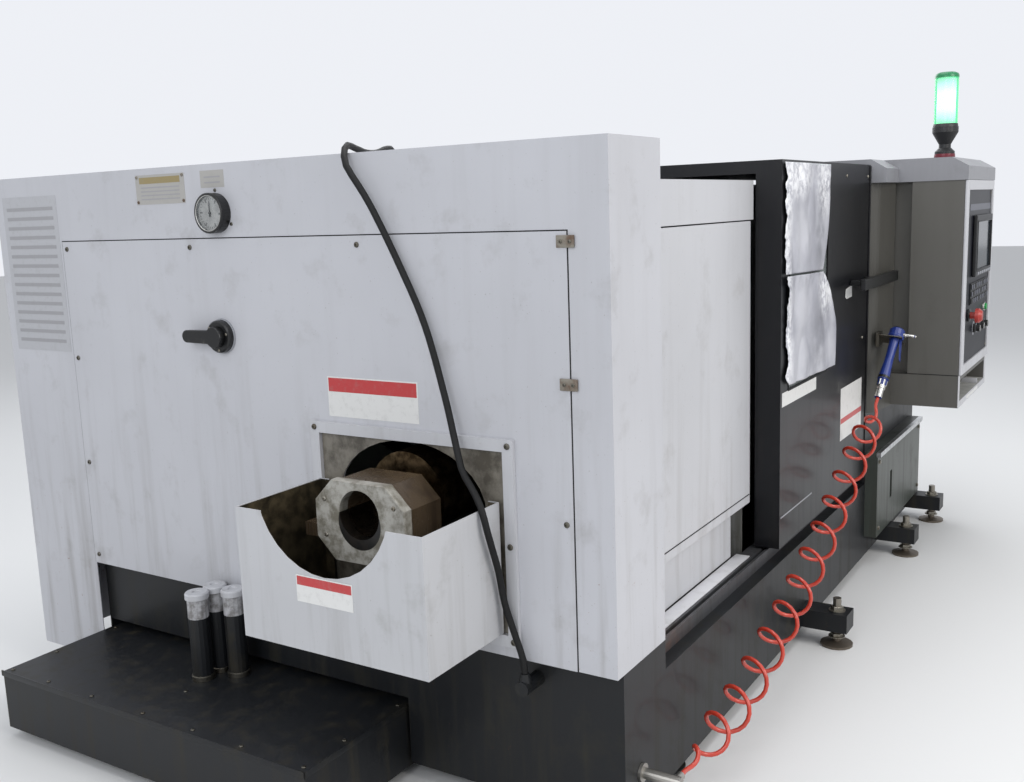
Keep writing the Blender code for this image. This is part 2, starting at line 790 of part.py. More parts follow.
def base_casting():
    """Black base with a tunnel for the coolant tank, a chip pan under the chuck and levelling feet."""
    outline = [
        (BASE_LEFT, BASE_BOTTOM),
        (MACHINE_LENGTH, BASE_BOTTOM),
        (MACHINE_LENGTH, BASE_RIGHT_DECK),
        (LINING_RIGHT + SHEET + SEAT_GAP, BASE_RIGHT_DECK),
        (LINING_RIGHT + SHEET + SEAT_GAP, BASE_DECK),
        (COVER_LENGTH + SEAT_GAP, BASE_DECK),
        (COVER_LENGTH + SEAT_GAP, COVER_BOTTOM - SEAT_GAP),
        (BASE_LEFT, COVER_BOTTOM - SEAT_GAP),
    ]
    base = extruded("base_casting", outline, 0, BASE_BACK, "Y", "base_black")
    tunnel = block("tunnel_cutter", (BASE_LEFT - OVERRUN, TUNNEL_FRONT, BASE_BOTTOM - OVERRUN),
                   (TUNNEL_END, TUNNEL_BACK, TUNNEL_TOP), None)
    pan = block("pan_cutter", (PAN_START, PAN_FRONT, PAN_FLOOR), (PAN_END, PAN_BACK, BASE_DECK + OVERRUN), None)
    drain = block("drain_cutter", (PAN_START + DRAIN_INSET, PAN_BACK - OVERRUN, DRAIN_FLOOR + OVERRUN),
                  (PAN_END - DRAIN_INSET, DRAIN_BACK, DRAIN_TOP), None)
    corner = block("corner_cutter", (BASE_LEFT - OVERRUN, COVER_STEP_Y - SEAT_GAP, BASE_BOTTOM - OVERRUN),
                   (COVER_LENGTH + OVERRUN, BASE_BACK + OVERRUN, COVER_BOTTOM + OVERRUN), None)
    for cutter in (tunnel, pan, drain, corner):
        cut(base, cutter)
    for number, foot_x in enumerate(FRONT_FEET):
        lug = block(f"lug_{number}", (foot_x - LUG_WIDTH / 2, LUG_FRONT, LUG_BOTTOM),
                    (foot_x + LUG_WIDTH / 2, LUG_EMBED, LUG_TOP), None)
        join(base, lug)
        join(base, levelling_foot(f"front_foot_{number}", foot_x, FOOT_FRONT, STEM_TOP))
    for number, (foot_x, foot_y) in enumerate(HIDDEN_FEET):
        join(base, levelling_foot(f"under_foot_{number}", foot_x, foot_y, BASE_BOTTOM + OVERRUN))
    elbow_end = LOW_GLAND_X - ELBOW_RADIUS
    join(base, rod("gland_elbow", ELBOW_RADIUS, elbow_end, BASE_LEFT + GLAND_SINK, "X", (LOW_GLAND_Y, LOW_GLAND_Z),
                   None, SMALL_SIDES))
    join(base, gland("low_gland", (LOW_GLAND_X, LOW_GLAND_Y, LOW_GLAND_Z), "Z"))
    return hose_coupler(base)


def gland(name, face, axis):
    """Cable gland that stands out from a face, as a helper shape sunk a little into it."""
    profile = [
        (0, GLAND_LENGTH), (GLAND_NECK, GLAND_LENGTH), (GLAND_RADIUS, GLAND_LENGTH / 2),
        (GLAND_RADIUS, -GLAND_SINK), (0, -GLAND_SINK),
    ]
    return turned(name, profile, None, face, axis, SMALL_SIDES)


def hose_coupler(base):
    """Elbow on the base front that the coiled hose plugs into."""
    outer = COUPLER_REACH + COUPLER_RADIUS
    profile = [
        (0, outer), (COUPLER_RADIUS, outer), (COUPLER_RADIUS, COUPLER_FLANGE_THICK),
        (COUPLER_FLANGE, COUPLER_FLANGE_THICK), (COUPLER_FLANGE, -GLAND_SINK), (0, -GLAND_SINK),
    ]
    join(base, turned("hose_coupler", profile, None, (COUPLER_X, 0, COUPLER_Z), "-Y", SMALL_SIDES))
    spout_end = COUPLER_X + COUPLER_SPOUT - SEAT_GAP
    spout = rod("coupler_spout", COUPLER_RADIUS * 3 / 4, COUPLER_X, spout_end, "X", (-COUPLER_REACH, COUPLER_Z),
                None, SMALL_SIDES)
    return join(base, spout)


def levelling_foot(name, foot_x, foot_y, top):
    """Steel pad with a threaded stem, turned as one piece."""
    profile = [
        (0, top), (STEM_RADIUS, top), (STEM_RADIUS, PAD_HEIGHT), (PAD_RADIUS, PAD_HEIGHT / 2), (PAD_RADIUS, 0), (0, 0),
    ]
    return turned(name, profile, None, (foot_x, foot_y, 0), "Z", SMALL_SIDES)


def slant_bed():
    """Cast bed with a slanted face and two raised ways."""
    outline = [
        slope(BED_LOW, 0),
        slope(LOWER_RAIL, 0), slope(LOWER_RAIL, RAIL_HEIGHT),
        slope(LOWER_RAIL + RAIL_WIDTH, RAIL_HEIGHT), slope(LOWER_RAIL + RAIL_WIDTH, 0),
        slope(UPPER_RAIL, 0), slope(UPPER_RAIL, RAIL_HEIGHT),
        slope(UPPER_RAIL + RAIL_WIDTH, RAIL_HEIGHT), slope(UPPER_RAIL + RAIL_WIDTH, 0),
        slope(BED_HIGH, 0),
        (BED_BACK, slope(BED_HIGH, 0)[1]),
        (BED_BACK, BASE_DECK + SEAT_GAP),
        (slope(BED_LOW, 0)[0], BASE_DECK + SEAT_GAP),
    ]
    return extruded("slant_bed", outline, BED_START, BED_END, "X", "cast_green")


def headstock():
    """Cast spindle housing seated on both ways."""
    seat = RAIL_HEIGHT + SEAT_GAP
    outline = [
        slope(HEAD_LOW, seat), slope(HEAD_HIGH, seat), slope(HEAD_HIGH, HEAD_SHOULDER),
        slope(HEAD_CROWN, HEAD_HEIGHT), slope(-HEAD_CROWN, HEAD_HEIGHT), slope(HEAD_LOW, HEAD_HEIGHT - HEAD_CROWN / 2),
    ]
    head = extruded("headstock", outline, HEAD_START, HEAD_END, "X", "cast_green")
    bore = rod("headstock_bore", hole_radius(SPINDLE_RADIUS), HEAD_START - OVERRUN, HEAD_END + OVERRUN, "X",
               (SPINDLE_Y, SPINDLE_Z), None)
    return cut(head, bore)


def ring_profile(rows, bore):
    """Closed profile of a bored turned piece from rows of (radius, place along the axis), first row first."""
    return rows + [(bore, rows[-1][1]), (bore, rows[0][1])]


def spindle_line():
    """Spindle with its pulley and the rotary cylinder behind it as one turned piece, the chuck and its jaws."""
    axis = pivot("spindle_axis", (0, SPINDLE_Y, SPINDLE_Z))
    rows = [
        (NOSE_RADIUS, NOSE_END), (NOSE_RADIUS, NOSE_START), (SPINDLE_RADIUS, NOSE_START),
        (SPINDLE_RADIUS, PULLEY_END), (PULLEY_RADIUS + PULLEY_RIM, PULLEY_END),
        (PULLEY_RADIUS + PULLEY_RIM, PULLEY_END - PULLEY_LIP), (PULLEY_RADIUS, PULLEY_END - PULLEY_LIP),
        (PULLEY_RADIUS, PULLEY_START + PULLEY_LIP), (PULLEY_RADIUS + PULLEY_RIM, PULLEY_START + PULLEY_LIP),
        (PULLEY_RADIUS + PULLEY_RIM, PULLEY_START), (SPINDLE_RADIUS, PULLEY_START), (SPINDLE_RADIUS, CYLINDER_END),
        (CYLINDER_RADIUS, CYLINDER_END), (CYLINDER_RADIUS, CYLINDER_START + CYLINDER_NECK_LENGTH),
        (CYLINDER_NECK, CYLINDER_START + CYLINDER_NECK_LENGTH), (CYLINDER_NECK, CYLINDER_START),
    ]
    turned("spindle", ring_profile(rows, SPINDLE_BORE), "bright_steel", (0, 0, 0), "X", parent=axis, closed=True)
    rows = [
        (CHUCK_RADIUS - CHUCK_CHAMFER, CHUCK_END), (CHUCK_RADIUS, CHUCK_END - CHUCK_CHAMFER),
        (CHUCK_RADIUS, CHUCK_START + CHUCK_CHAMFER), (CHUCK_RADIUS - CHUCK_CHAMFER, CHUCK_START),
    ]
    turned("chuck_body", ring_profile(rows, CHUCK_BORE), "bright_steel", (0, 0, 0), "X", parent=axis, closed=True)
    for number in range(JAW_COUNT):
        chuck_jaw(number + 1, axis)


def chuck_jaw(number, axis):
    """Stepped jaw that slides in and out on the chuck's face."""
    turn = Matrix.Rotation(math.tau * (number - 1) / JAW_COUNT, 3, "X")
    radial = pivot(f"jaw_{number}_slide", (CHUCK_END + SEAT_GAP, 0, 0), axis, turn)
    outline = [
        (0, JAW_INNER), (JAW_LENGTH, JAW_INNER), (JAW_LENGTH, JAW_OUTER - 2 * JAW_STEP),
        (JAW_LENGTH - JAW_STEP / 2, JAW_OUTER - 2 * JAW_STEP), (JAW_LENGTH - JAW_STEP / 2, JAW_OUTER - JAW_STEP),
        (JAW_LENGTH - JAW_STEP, JAW_OUTER - JAW_STEP), (JAW_LENGTH - JAW_STEP, JAW_OUTER), (0, JAW_OUTER),
    ]
    return extruded(f"chuck_jaw_{number}", outline, -JAW_WIDTH / 2, JAW_WIDTH / 2, "Y", "bright_steel", radial)


def collector_outline(inset):
    """Eight-sided outline of the collector, a given distance inside its widest one."""
    half_width = COLLECTOR_WIDTH / 2 - inset
    half_height = COLLECTOR_HEIGHT / 2 - inset
    quarter = [(half_width, half_height - COLLECTOR_CORNER), (half_width - COLLECTOR_CORNER, half_height)]
    ring = quarter + [(-y, z) for y, z in quarter[::-1]]
    ring = ring + [(-y, -z) for y, z in ring]
    return [(SPINDLE_Y + y, SPINDLE_Z - COLLECTOR_DROP + z) for y, z in ring]


def coolant_collector():
    """Eight-sided housing that stands still round the rotary cylinder's rear end, held by a bar to the end cover."""
    plate_end = COLLECTOR_START + COLLECTOR_PLATE
    plate = extruded("coolant_collector", collector_outline(0), COLLECTOR_START, plate_end, "X", "light_panel")
    body = extruded("collector_body", collector_outline(COLLECTOR_LIP), plate_end - OVERRUN, COLLECTOR_END, "X", None)
    bore = rod("collector_bore", COLLECTOR_BORE, COLLECTOR_START - OVERRUN, COLLECTOR_END + OVERRUN, "X",
               (SPINDLE_Y, SPINDLE_Z), None)
    arm_top = SPINDLE_Z - BRACKET_TOP
    arm = block("collector_arm", (-BRACKET_REACH, SPINDLE_Y + BRACKET_INNER, arm_top - BRACKET_HEIGHT),
                (panel_face() - SEAT_GAP, SPINDLE_Y + BRACKET_OUTER, arm_top), None)
    join(soften(plate, EDGE_ROUND), body)
    return join(cut(plate, bore), arm)


def motor_axis_z():
    return slope(BED_HIGH, 0)[1] + SEAT_GAP + MOTOR_SIZE / 2


def spindle_motor():
    """Square spindle motor on the bed's flat top, its pulley, and the flat belt to the spindle."""
    axis_z = motor_axis_z()
    half = MOTOR_SIZE / 2
    motor = block("spindle_motor", (MOTOR_START, MOTOR_Y - half, axis_z - half),
                  (MOTOR_START + MOTOR_LENGTH, MOTOR_Y + half, axis_z + half), "cast_green")
    soften(motor, MOTOR_CORNER, 1)
    axis = pivot("motor_axis", (0, MOTOR_Y, axis_z))
    rows = [
        (MOTOR_SHAFT_RADIUS, MOTOR_START - SEAT_GAP), (MOTOR_SHAFT_RADIUS, PULLEY_END),
        (MOTOR_PULLEY_RADIUS + PULLEY_RIM, PULLEY_END), (MOTOR_PULLEY_RADIUS + PULLEY_RIM, PULLEY_END - PULLEY_LIP),
        (MOTOR_PULLEY_RADIUS, PULLEY_END - PULLEY_LIP), (MOTOR_PULLEY_RADIUS, PULLEY_START + PULLEY_LIP),
        (MOTOR_PULLEY_RADIUS + PULLEY_RIM, PULLEY_START + PULLEY_LIP), (MOTOR_PULLEY_RADIUS + PULLEY_RIM, PULLEY_START),
    ]
    profile = [(0, rows[0][1])] + rows + [(0, rows[-1][1])]
    turned("motor_pulley", profile, "bright_steel", (0, 0, 0), "X", parent=axis)
    return motor, drive_belt(axis_z)


def belt_loop(extra):
    """Outline of a belt round both pulleys, a given distance out from their faces."""
    across = MOTOR_Y - SPINDLE_Y
    up = motor_axis_z() - SPINDLE_Z
    span = math.hypot(across, up)
    heading = math.degrees(math.atan2(up, across))
    lean = math.degrees(math.acos((PULLEY_RADIUS - MOTOR_PULLEY_RADIUS) / span))
    large = (PULLEY_RADIUS + extra) / math.cos(math.radians(180 - lean) / SMALL_SIDES)
    small = (MOTOR_PULLEY_RADIUS + extra) / math.cos(math.radians(lean) / SMALL_SIDES)
    spindle_side = arc((SPINDLE_Y, SPINDLE_Z), large, heading + lean, heading + 360 - lean, SMALL_SIDES)
    motor_side = arc((MOTOR_Y, motor_axis_z()), small, heading - lean, heading + lean, SMALL_SIDES)
    return spindle_side + motor_side


def drive_belt(axis_z):
    """Flat belt with a small gap to both pulleys."""
    start = PULLEY_START + BELT_EDGE
    end = PULLEY_END - BELT_EDGE
    belt = extruded("drive_belt", belt_loop(BELT_THICKNESS), start, end, "X", "rubber")
    inside = extruded("belt_inside", belt_loop(SEAT_GAP), start - OVERRUN, end + OVERRUN, "X", None)
    return cut(belt, inside)


def saddle_group():
    """Saddle on the ways, cross slide with its turret housing on the saddle, and the indexing disc."""
    skirt = SEAT_GAP
    gap = SEAT_GAP
    outline = [
        (SADDLE_LOW, skirt), (LOWER_RAIL - gap, skirt), (LOWER_RAIL - gap, RAIL_HEIGHT + gap),
        (LOWER_RAIL + RAIL_WIDTH + gap, RAIL_HEIGHT + gap), (LOWER_RAIL + RAIL_WIDTH + gap, skirt),
        (UPPER_RAIL - gap, skirt), (UPPER_RAIL - gap, RAIL_HEIGHT + gap),
        (UPPER_RAIL + RAIL_WIDTH + gap, RAIL_HEIGHT + gap), (UPPER_RAIL + RAIL_WIDTH + gap, skirt),
        (SADDLE_HIGH, skirt), (SADDLE_HIGH, SADDLE_TOP), (SADDLE_LOW, SADDLE_TOP),
    ]
    extruded("saddle", [slope(v, w) for v, w in outline], SADDLE_START, SADDLE_END, "X", "dark_steel")
    low = SADDLE_TOP + SEAT_GAP
    outline = [(CROSS_LOW, low), (CROSS_HIGH, low), (CROSS_HIGH, CROSS_TOP), (CROSS_LOW, CROSS_TOP)]
    cross = extruded("cross_slide", [slope(v, w) for v, w in outline], CROSS_START, CROSS_END, "X", "cast_green")
    low = CROSS_TOP - TURRET_SINK
    outline = [
        (TURRET_V - TURRET_HALF, low), (TURRET_V + TURRET_HALF, low),
        (TURRET_V + TURRET_HALF, TURRET_TOP - TURRET_HALF / 2), (TURRET_V + TURRET_HALF / 2, TURRET_TOP),
        (TURRET_V - TURRET_HALF / 2, TURRET_TOP), (TURRET_V - TURRET_HALF, TURRET_TOP - TURRET_HALF / 2),
    ]
    join(cross, extruded("turret_body", [slope(v, w) for v, w in outline], TURRET_START, TURRET_END, "X", None))
    turret_disc()


def turret_disc():
    """Twelve-sided tool disc with a tool holder on every second station."""
    centre = slope(TURRET_V, WAY_DEPTH)
    axis = pivot("turret_axis", (DISC_START, centre[0], centre[1]), turn=Matrix.Rotation(BED_ANGLE, 3, "X"))
    length = TURRET_START - SEAT_GAP - DISC_START
    profile = [
        (0, length), (DISC_HUB, length), (DISC_RADIUS, length - DISC_HUB / 4),
        (DISC_RADIUS, DISC_HUB / 4), (DISC_RADIUS - DISC_HUB / 4, 0), (0, 0),
    ]
    disc = turned("turret_disc", profile, "bright_steel", (0, 0, 0), "X", DISC_STATIONS, axis)
    for number in range(DISC_STATIONS // 2):
        angle = math.tau * (number + 1 / 4) * 2 / DISC_STATIONS
        arm = pivot(f"station_{number}", (0, 0, 0), axis, Matrix.Rotation(angle, 3, "X"))
        inner = DISC_RADIUS * math.cos(math.pi / DISC_STATIONS) - HOLDER_SINK
        holder = block(f"holder_{number}", (SHEET, -HOLDER_WIDTH / 2, inner),
                       (HOLDER_DEPTH, HOLDER_WIDTH / 2, inner + HOLDER_LENGTH), None, parent=arm)
        join(disc, holder)
    return disc


def tailstock():
    """Tailstock body on the lower way, with a quill and a centre."""
    gap = SEAT_GAP
    outline = [
        (TAIL_LOW, RAIL_HEIGHT + gap), (TAIL_HIGH, RAIL_HEIGHT + gap), (TAIL_HIGH, WAY_DEPTH - TAIL_HIGH / 2),
        (TAIL_HIGH / 2, TAIL_TOP), (-TAIL_HIGH / 2, TAIL_TOP), (-TAIL_HIGH, WAY_DEPTH - TAIL_HIGH / 2),
        (TAIL_LOW, RAIL_HEIGHT * 2),
    ]
    body = extruded("tailstock", [slope(v, w) for v, w in outline], TAIL_START, TAIL_END, "X", "cast_green")
    bore = rod("quill_bore", hole_radius(QUILL_RADIUS), TAIL_START - OVERRUN, TAIL_START + QUILL_IN + SEAT_GAP, "X",
               (SPINDLE_Y, SPINDLE_Z), None)
    cut(body, bore)
    nose = TAIL_START - QUILL_OUT
    profile = [
        (0, TAIL_START + QUILL_IN), (QUILL_RADIUS, TAIL_START + QUILL_IN), (QUILL_RADIUS, nose),
        (CENTRE_RADIUS, nose), (CENTRE_TIP, nose - CENTRE_LENGTH), (0, nose - CENTRE_LENGTH),
    ]
    axis = pivot("quill_slide", (0, SPINDLE_Y, SPINDLE_Z))
    return turned("tailstock_quill", profile, "bright_steel", (0, 0, 0), "X", parent=axis)


def end_cover():
    """Light sheet hood over the left end, open to the right and below."""
    outline = [
        (0, COVER_BOTTOM), (0, COVER_TOP), (MACHINE_DEPTH, COVER_TOP), (MACHINE_DEPTH, COVER_STEP_Z),
        (COVER_STEP_Y, COVER_STEP_Z), (COVER_STEP_Y, COVER_BOTTOM),
    ]
    cover = extruded("end_cover", outline, 0, COVER_LENGTH, "X", "light_panel")
    inside = block("end_cover_inside", (SHEET, SHEET, COVER_STEP_Z - OVERRUN),
                   (COVER_LENGTH - SHEET, MACHINE_DEPTH - SHEET, COVER_TOP - SHEET), None)
    side = block("end_cover_side", (COVER_LENGTH - OVERRUN, COVER_FLANGE, COVER_STEP_Z - OVERRUN),
                 (COVER_LENGTH + OVERRUN, MACHINE_DEPTH - COVER_FLANGE, ROOF_HEIGHT - SHEET), None)
    cut(cover, inside)
    cut(cover, side)
    return cut(cover, oval_cutter("cover_oval", -OVERRUN, OVERRUN))


def oval_cutter(name, start, end):
    """Oval bar through the end cover, for the spindle opening."""
    ring = arc((0, 0), 1, 0, 360 * (1 - 1 / CYLINDER_SIDES), CYLINDER_SIDES - 1)
    outline = [(OVAL_Y + OVAL_HALF_WIDTH * y, OVAL_Z + OVAL_HALF_HEIGHT * z) for y, z in ring]
    return extruded(name, outline, start, end, "X", None)


def access_panel():
    """Screwed panel on the end cover, with the same oval opening."""
    front = -PANEL_SHEET - SEAT_GAP
    panel = block("access_panel", (front, PANEL_FRONT, COVER_BOTTOM), (-SEAT_GAP, COVER_STEP_Y, PANEL_TOP),
                  "light_panel")
    return cut(panel, oval_cutter("panel_oval", -OVERRUN, OVERRUN))


def panel_face():
    """Place of the access panel's outer face along x."""
    return -PANEL_SHEET - SEAT_GAP * 2


def opening_frame():
    """Square frame screwed round the spindle opening."""
    face = panel_face()
    frame = block("opening_frame", (face - FRAME_THICK, FRAME_FRONT, FRAME_BOTTOM), (face, FRAME_BACK, FRAME_TOP),
                  "light_panel")
    low = (face - FRAME_THICK - OVERRUN, FRAME_FRONT + FRAME_BORDER, FRAME_BOTTOM + FRAME_BORDER)
    window = block("frame_window", low, (face + OVERRUN, FRAME_BACK - FRAME_BORDER, FRAME_TOP - FRAME_BORDER), None)
    return cut(frame, window)


def chip_guard():
    """Open-topped sheet box under the spindle's rear end, with a round bite out of its outer wall."""
    inner = panel_face() - FRAME_THICK - SEAT_GAP
    guard = block("chip_guard", (-GUARD_REACH, GUARD_FRONT, GUARD_BOTTOM), (inner, GUARD_BACK, GUARD_TOP),
                  "light_panel")
    hollow = block("guard_hollow", (-GUARD_REACH + SHEET, GUARD_FRONT + SHEET, GUARD_BOTTOM + SHEET),
                   (inner - SHEET, GUARD_BACK - SHEET, GUARD_TOP + OVERRUN), None)
    back = block("guard_back_cut", (inner - SHEET - OVERRUN, GUARD_FRONT + FRAME_BORDER, GUARD_BOTTOM + FRAME_BORDER),
                 (inner + OVERRUN, GUARD_BACK - FRAME_BORDER, GUARD_TOP + OVERRUN), None)
    bite = rod("guard_bite", GUARD_CUT_RADIUS, -GUARD_REACH - OVERRUN, -GUARD_REACH + OVERRUN, "X",
               (GUARD_CUT_Y, GUARD_CUT_Z), None)
    for cutter in (hollow, back, bite):
        cut(guard, cutter)
    return guard


def pressure_gauge():
    """Round gauge with a raised rim, and its pointer on a post."""
    face = -SEAT_GAP
    profile = [
        (0, GAUGE_DEPTH - GAUGE_DISH), (GAUGE_RADIUS - GAUGE_RIM, GAUGE_DEPTH - GAUGE_DISH),
        (GAUGE_RADIUS - GAUGE_RIM, GAUGE_DEPTH), (GAUGE_RADIUS, GAUGE_DEPTH - GAUGE_RIM / 2), (GAUGE_RADIUS, 0),
        (0, 0),
    ]
    turned("gauge_case", profile, "bright_steel", (face, GAUGE_Y, GAUGE_Z), "-X")
    lift = GAUGE_DEPTH - GAUGE_DISH + SEAT_GAP
    axis = pivot("pointer_axis", (face - lift, GAUGE_Y, GAUGE_Z))
    outline = [(-POINTER_WIDTH / 2, -POINTER_TAIL), (POINTER_WIDTH / 2, -POINTER_TAIL),
               (POINTER_WIDTH / 6, POINTER_LENGTH), (-POINTER_WIDTH / 6, POINTER_LENGTH)]
    outer = -POINTER_LIFT - POINTER_THICK
    pointer = extruded("gauge_pointer", outline, outer, -POINTER_LIFT, "X", "black_plastic", axis)
    post = rod("pointer_post", POST_RADIUS, outer - POINTER_THICK, 0, "X", (0, 0), None, SMALL_SIDES, axis)
    return join(pointer, post)


def isolator_switch():
    """Black rotary isolator: a round rose and a lever that turns on it."""
    face = panel_face()
    profile = [
        (0, SWITCH_DEPTH), (SWITCH_RADIUS - EDGE_ROUND, SWITCH_DEPTH), (SWITCH_RADIUS, SWITCH_DEPTH - EDGE_ROUND),
        (SWITCH_RADIUS, 0), (0, 0),
    ]
    turned("switch_rose", profile, "black_plastic", (face, SWITCH_Y, SWITCH_Z), "-X")
    axis = pivot("switch_axis", (face - SWITCH_DEPTH - SEAT_GAP, SWITCH_Y, SWITCH_Z))
    reach = LEVER_REACH - LEVER_TIP_WIDTH / 2
    outline = arc((reach, 0), LEVER_TIP_WIDTH / 2, -80, 80, ROUND_STEPS)
    outline = outline + arc((0, 0), LEVER_HUB, 40, 320, ROUND_STEPS * 2)
    lever = extruded("switch_lever", outline, -LEVER_THICK, 0, "X", "black_plastic", axis)
    return soften(lever, EDGE_ROUND)


def front_panels():
    """Fixed light panels left of the door: an upper band, the main panel and the set-back lower one."""
    start = COVER_LENGTH + SEAT_GAP
    top = ROOF_HEIGHT
    outline = folded([(FIXED_Y, SEAM_Z + SEAM_WIDTH), (FIXED_Y, top), (UPPER_RETURN, top)], -SHEET)
    extruded("front_upper_panel", outline, start, FIXED_END, "X", "light_panel")
    corner = (FIXED_END - ROUND_RADIUS, FIXED_Y + ROUND_RADIUS)
    path = [(start, FIXED_Y)] + arc(corner, ROUND_RADIUS, -90, 0, ROUND_STEPS)
    path.append((FIXED_END, FIXED_Y + ROUND_RADIUS + PANEL_RETURN))
    main = extruded("front_main_panel", folded(path), LIP_Z, SEAM_Z, "Z", "light_panel")
    lip = block("main_panel_lip", (start + EDGE_ROUND, FIXED_Y + SHEET / 2, LIP_Z - SHEET / 2),
                (FIXED_END - ROUND_RADIUS, FIXED_Y + LIP_DEPTH, LIP_Z + SHEET / 2), None)
    join(main, lip)
    low_y = FIXED_Y + LOWER_SETBACK
    path = [(low_y, LOWER_TOP), (low_y, LOWER_BOTTOM), (low_y + PANEL_RETURN, LOWER_BOTTOM)]
    extruded("front_lower_panel", folded(path), start, FIXED_END - LOWER_INSET, "X", "light_panel")


def door_track():
    """Bright steel sill with the groove that guides the door."""
    groove_low = TRACK_GROOVE_Y - TRACK_GROOVE / 2
    groove_high = TRACK_GROOVE_Y + TRACK_GROOVE / 2
    deep = TRACK_TOP - DOOR_GUIDE_DEPTH
    outline = [
        (TRACK_FRONT, BASE_DECK + SEAT_GAP), (TRACK_BACK, BASE_DECK + SEAT_GAP), (TRACK_BACK, TRACK_TOP),
        (groove_high, TRACK_TOP), (groove_high, deep), (groove_low, deep), (groove_low, TRACK_TOP),
        (TRACK_FRONT, TRACK_TOP),
    ]
    return extruded("door_track", outline, COVER_LENGTH + SEAT_GAP, LINING_RIGHT + SHEET, "X", "bright_steel")


def sliding_door():
    """Black door with a hood over the work space, hollow behind, with a window opening and a guide rib."""
    outline = [
        (0, DOOR_BOTTOM), (DOOR_BACK, DOOR_BOTTOM), (DOOR_BACK, HOOD_BOTTOM), (HOOD_BACK, HOOD_BOTTOM),
        (HOOD_BACK, DOOR_TOP), (0, DOOR_TOP),
    ]
    door = extruded("door_frame", outline, DOOR_START, DOOR_END, "X", "black_panel")
    over = DOOR_BACK + OVERRUN
    outline = [
        (SHEET, DOOR_BOTTOM + SHEET), (over, DOOR_BOTTOM + SHEET), (over, HOOD_BOTTOM - OVERRUN),
        (HOOD_BACK - SHEET, HOOD_BOTTOM - OVERRUN), (HOOD_BACK - SHEET, DOOR_TOP - SHEET), (SHEET, DOOR_TOP - SHEET),
    ]
    cut(door, extruded("door_inside", outline, DOOR_START + SHEET, DOOR_END - SHEET, "X", None))
    window = block("window_cutter", (WINDOW_START, -OVERRUN, WINDOW_BOTTOM),
                   (WINDOW_END, SHEET + OVERRUN, WINDOW_TOP), None)
    cut(door, window)
    rib_foot = TRACK_TOP - DOOR_GUIDE_DEPTH + SEAT_GAP
    rib = block("guide_rib", (DOOR_START + DOOR_GUIDE_INSET, TRACK_GROOVE_Y - DOOR_GUIDE_WIDTH / 2, rib_foot),
                (DOOR_END - DOOR_GUIDE_INSET, TRACK_GROOVE_Y + DOOR_GUIDE_WIDTH / 2, DOOR_BOTTOM + SHEET / 2), None)
    join(door, rib)
    pane_y = SHEET + SEAT_GAP
    block("door_window", (WINDOW_START - WINDOW_LAP, pane_y, WINDOW_BOTTOM - WINDOW_LAP),
          (WINDOW_END + WINDOW_LAP, pane_y + GLASS_THICK, WINDOW_TOP + WINDOW_LAP), "clear_glass")
    outline = [
        (FILM_START, FILM_BOTTOM), (FILM_END_LOWER, FILM_BOTTOM), (FILM_END_LOWER, FILM_SPLIT),
        (FILM_END_UPPER, FILM_SPLIT), (FILM_END_UPPER, FILM_TOP), (FILM_START, FILM_TOP),
    ]
    extruded("window_film", outline, -FILM_THICK - SEAT_GAP, -SEAT_GAP, "Y", "film")
    door_handle()


def door_handle():
    """Black grab bar on two feet near the door's free edge."""
    back = -HANDLE_STANDOFF
    bar = block("door_handle", (HANDLE_START, back - HANDLE_DEPTH, HANDLE_Z - HANDLE_HEIGHT / 2),
                (HANDLE_END, back, HANDLE_Z + HANDLE_HEIGHT / 2), "black_plastic")
    for number, share in enumerate(HANDLE_FOOT_SHARES):
        foot_x = HANDLE_START + (HANDLE_END - HANDLE_START) * share
        foot = block(f"handle_foot_{number}", (foot_x, back - HANDLE_DEPTH / 2, HANDLE_Z - HANDLE_HEIGHT / 4),
                     (foot_x + HANDLE_FOOT_LENGTH, -SEAT_GAP, HANDLE_Z + HANDLE_HEIGHT / 4), None)
        join(bar, foot)
    return soften(bar, EDGE_ROUND)


def work_lining():
    """Folded sheet round the work space, cut out for the bed and the spindle nose."""
    path = [
        (LINING_LEFT, LINING_FRONT), (LINING_LEFT, LINING_BACK),
        (LINING_RIGHT, LINING_BACK), (LINING_RIGHT, LINING_FRONT),
    ]
    lining = extruded("work_lining", folded(path), BASE_DECK + SEAT_GAP, ROOF_HEIGHT - SHEET - SEAT_GAP, "Z",
                      "light_panel")
    run = LINING_RUN
    low_y = slope(BED_LOW, 0)[0] - run
    outline = [
        (low_y, BASE_DECK - OVERRUN), (low_y, slope(BED_LOW, 0)[1] + run), slope(LOWER_RAIL, RAIL_HEIGHT + run),
        slope(UPPER_RAIL + RAIL_WIDTH, RAIL_HEIGHT + run), slope(BED_HIGH, run),
        (BED_BACK + run, slope(BED_HIGH, 0)[1] + run), (BED_BACK + run, BASE_DECK - OVERRUN),
    ]
    cut(lining, extruded("bed_cutter", outline, LINING_LEFT - OVERRUN, LINING_LEFT + OVERRUN, "X", None))
    return cut(lining, rod("nose_cutter", NOSE_RADIUS + run, LINING_LEFT - OVERRUN, LINING_LEFT + OVERRUN, "X",
                           (SPINDLE_Y, SPINDLE_Z), None))


def right_panel():
    """Right front panel: a rounded column beside the door, then flat behind the control cabinet."""
    start = (RIGHT_START, DOOR_BACK)
    bulge = arc((RIGHT_START + COLUMN_RADIUS, COLUMN_BULGE), COLUMN_RADIUS, 180, 270, ROUND_STEPS)
    path = [start] + bulge + [(COLUMN_END, COLUMN_FRONT), (COLUMN_END, 0), (MACHINE_LENGTH - SHEET - SEAT_GAP, 0)]
    return extruded("right_front_panel", folded(path), BASE_RIGHT_DECK + SEAT_GAP, COLUMN_TOP, "Z", "grey_panel")


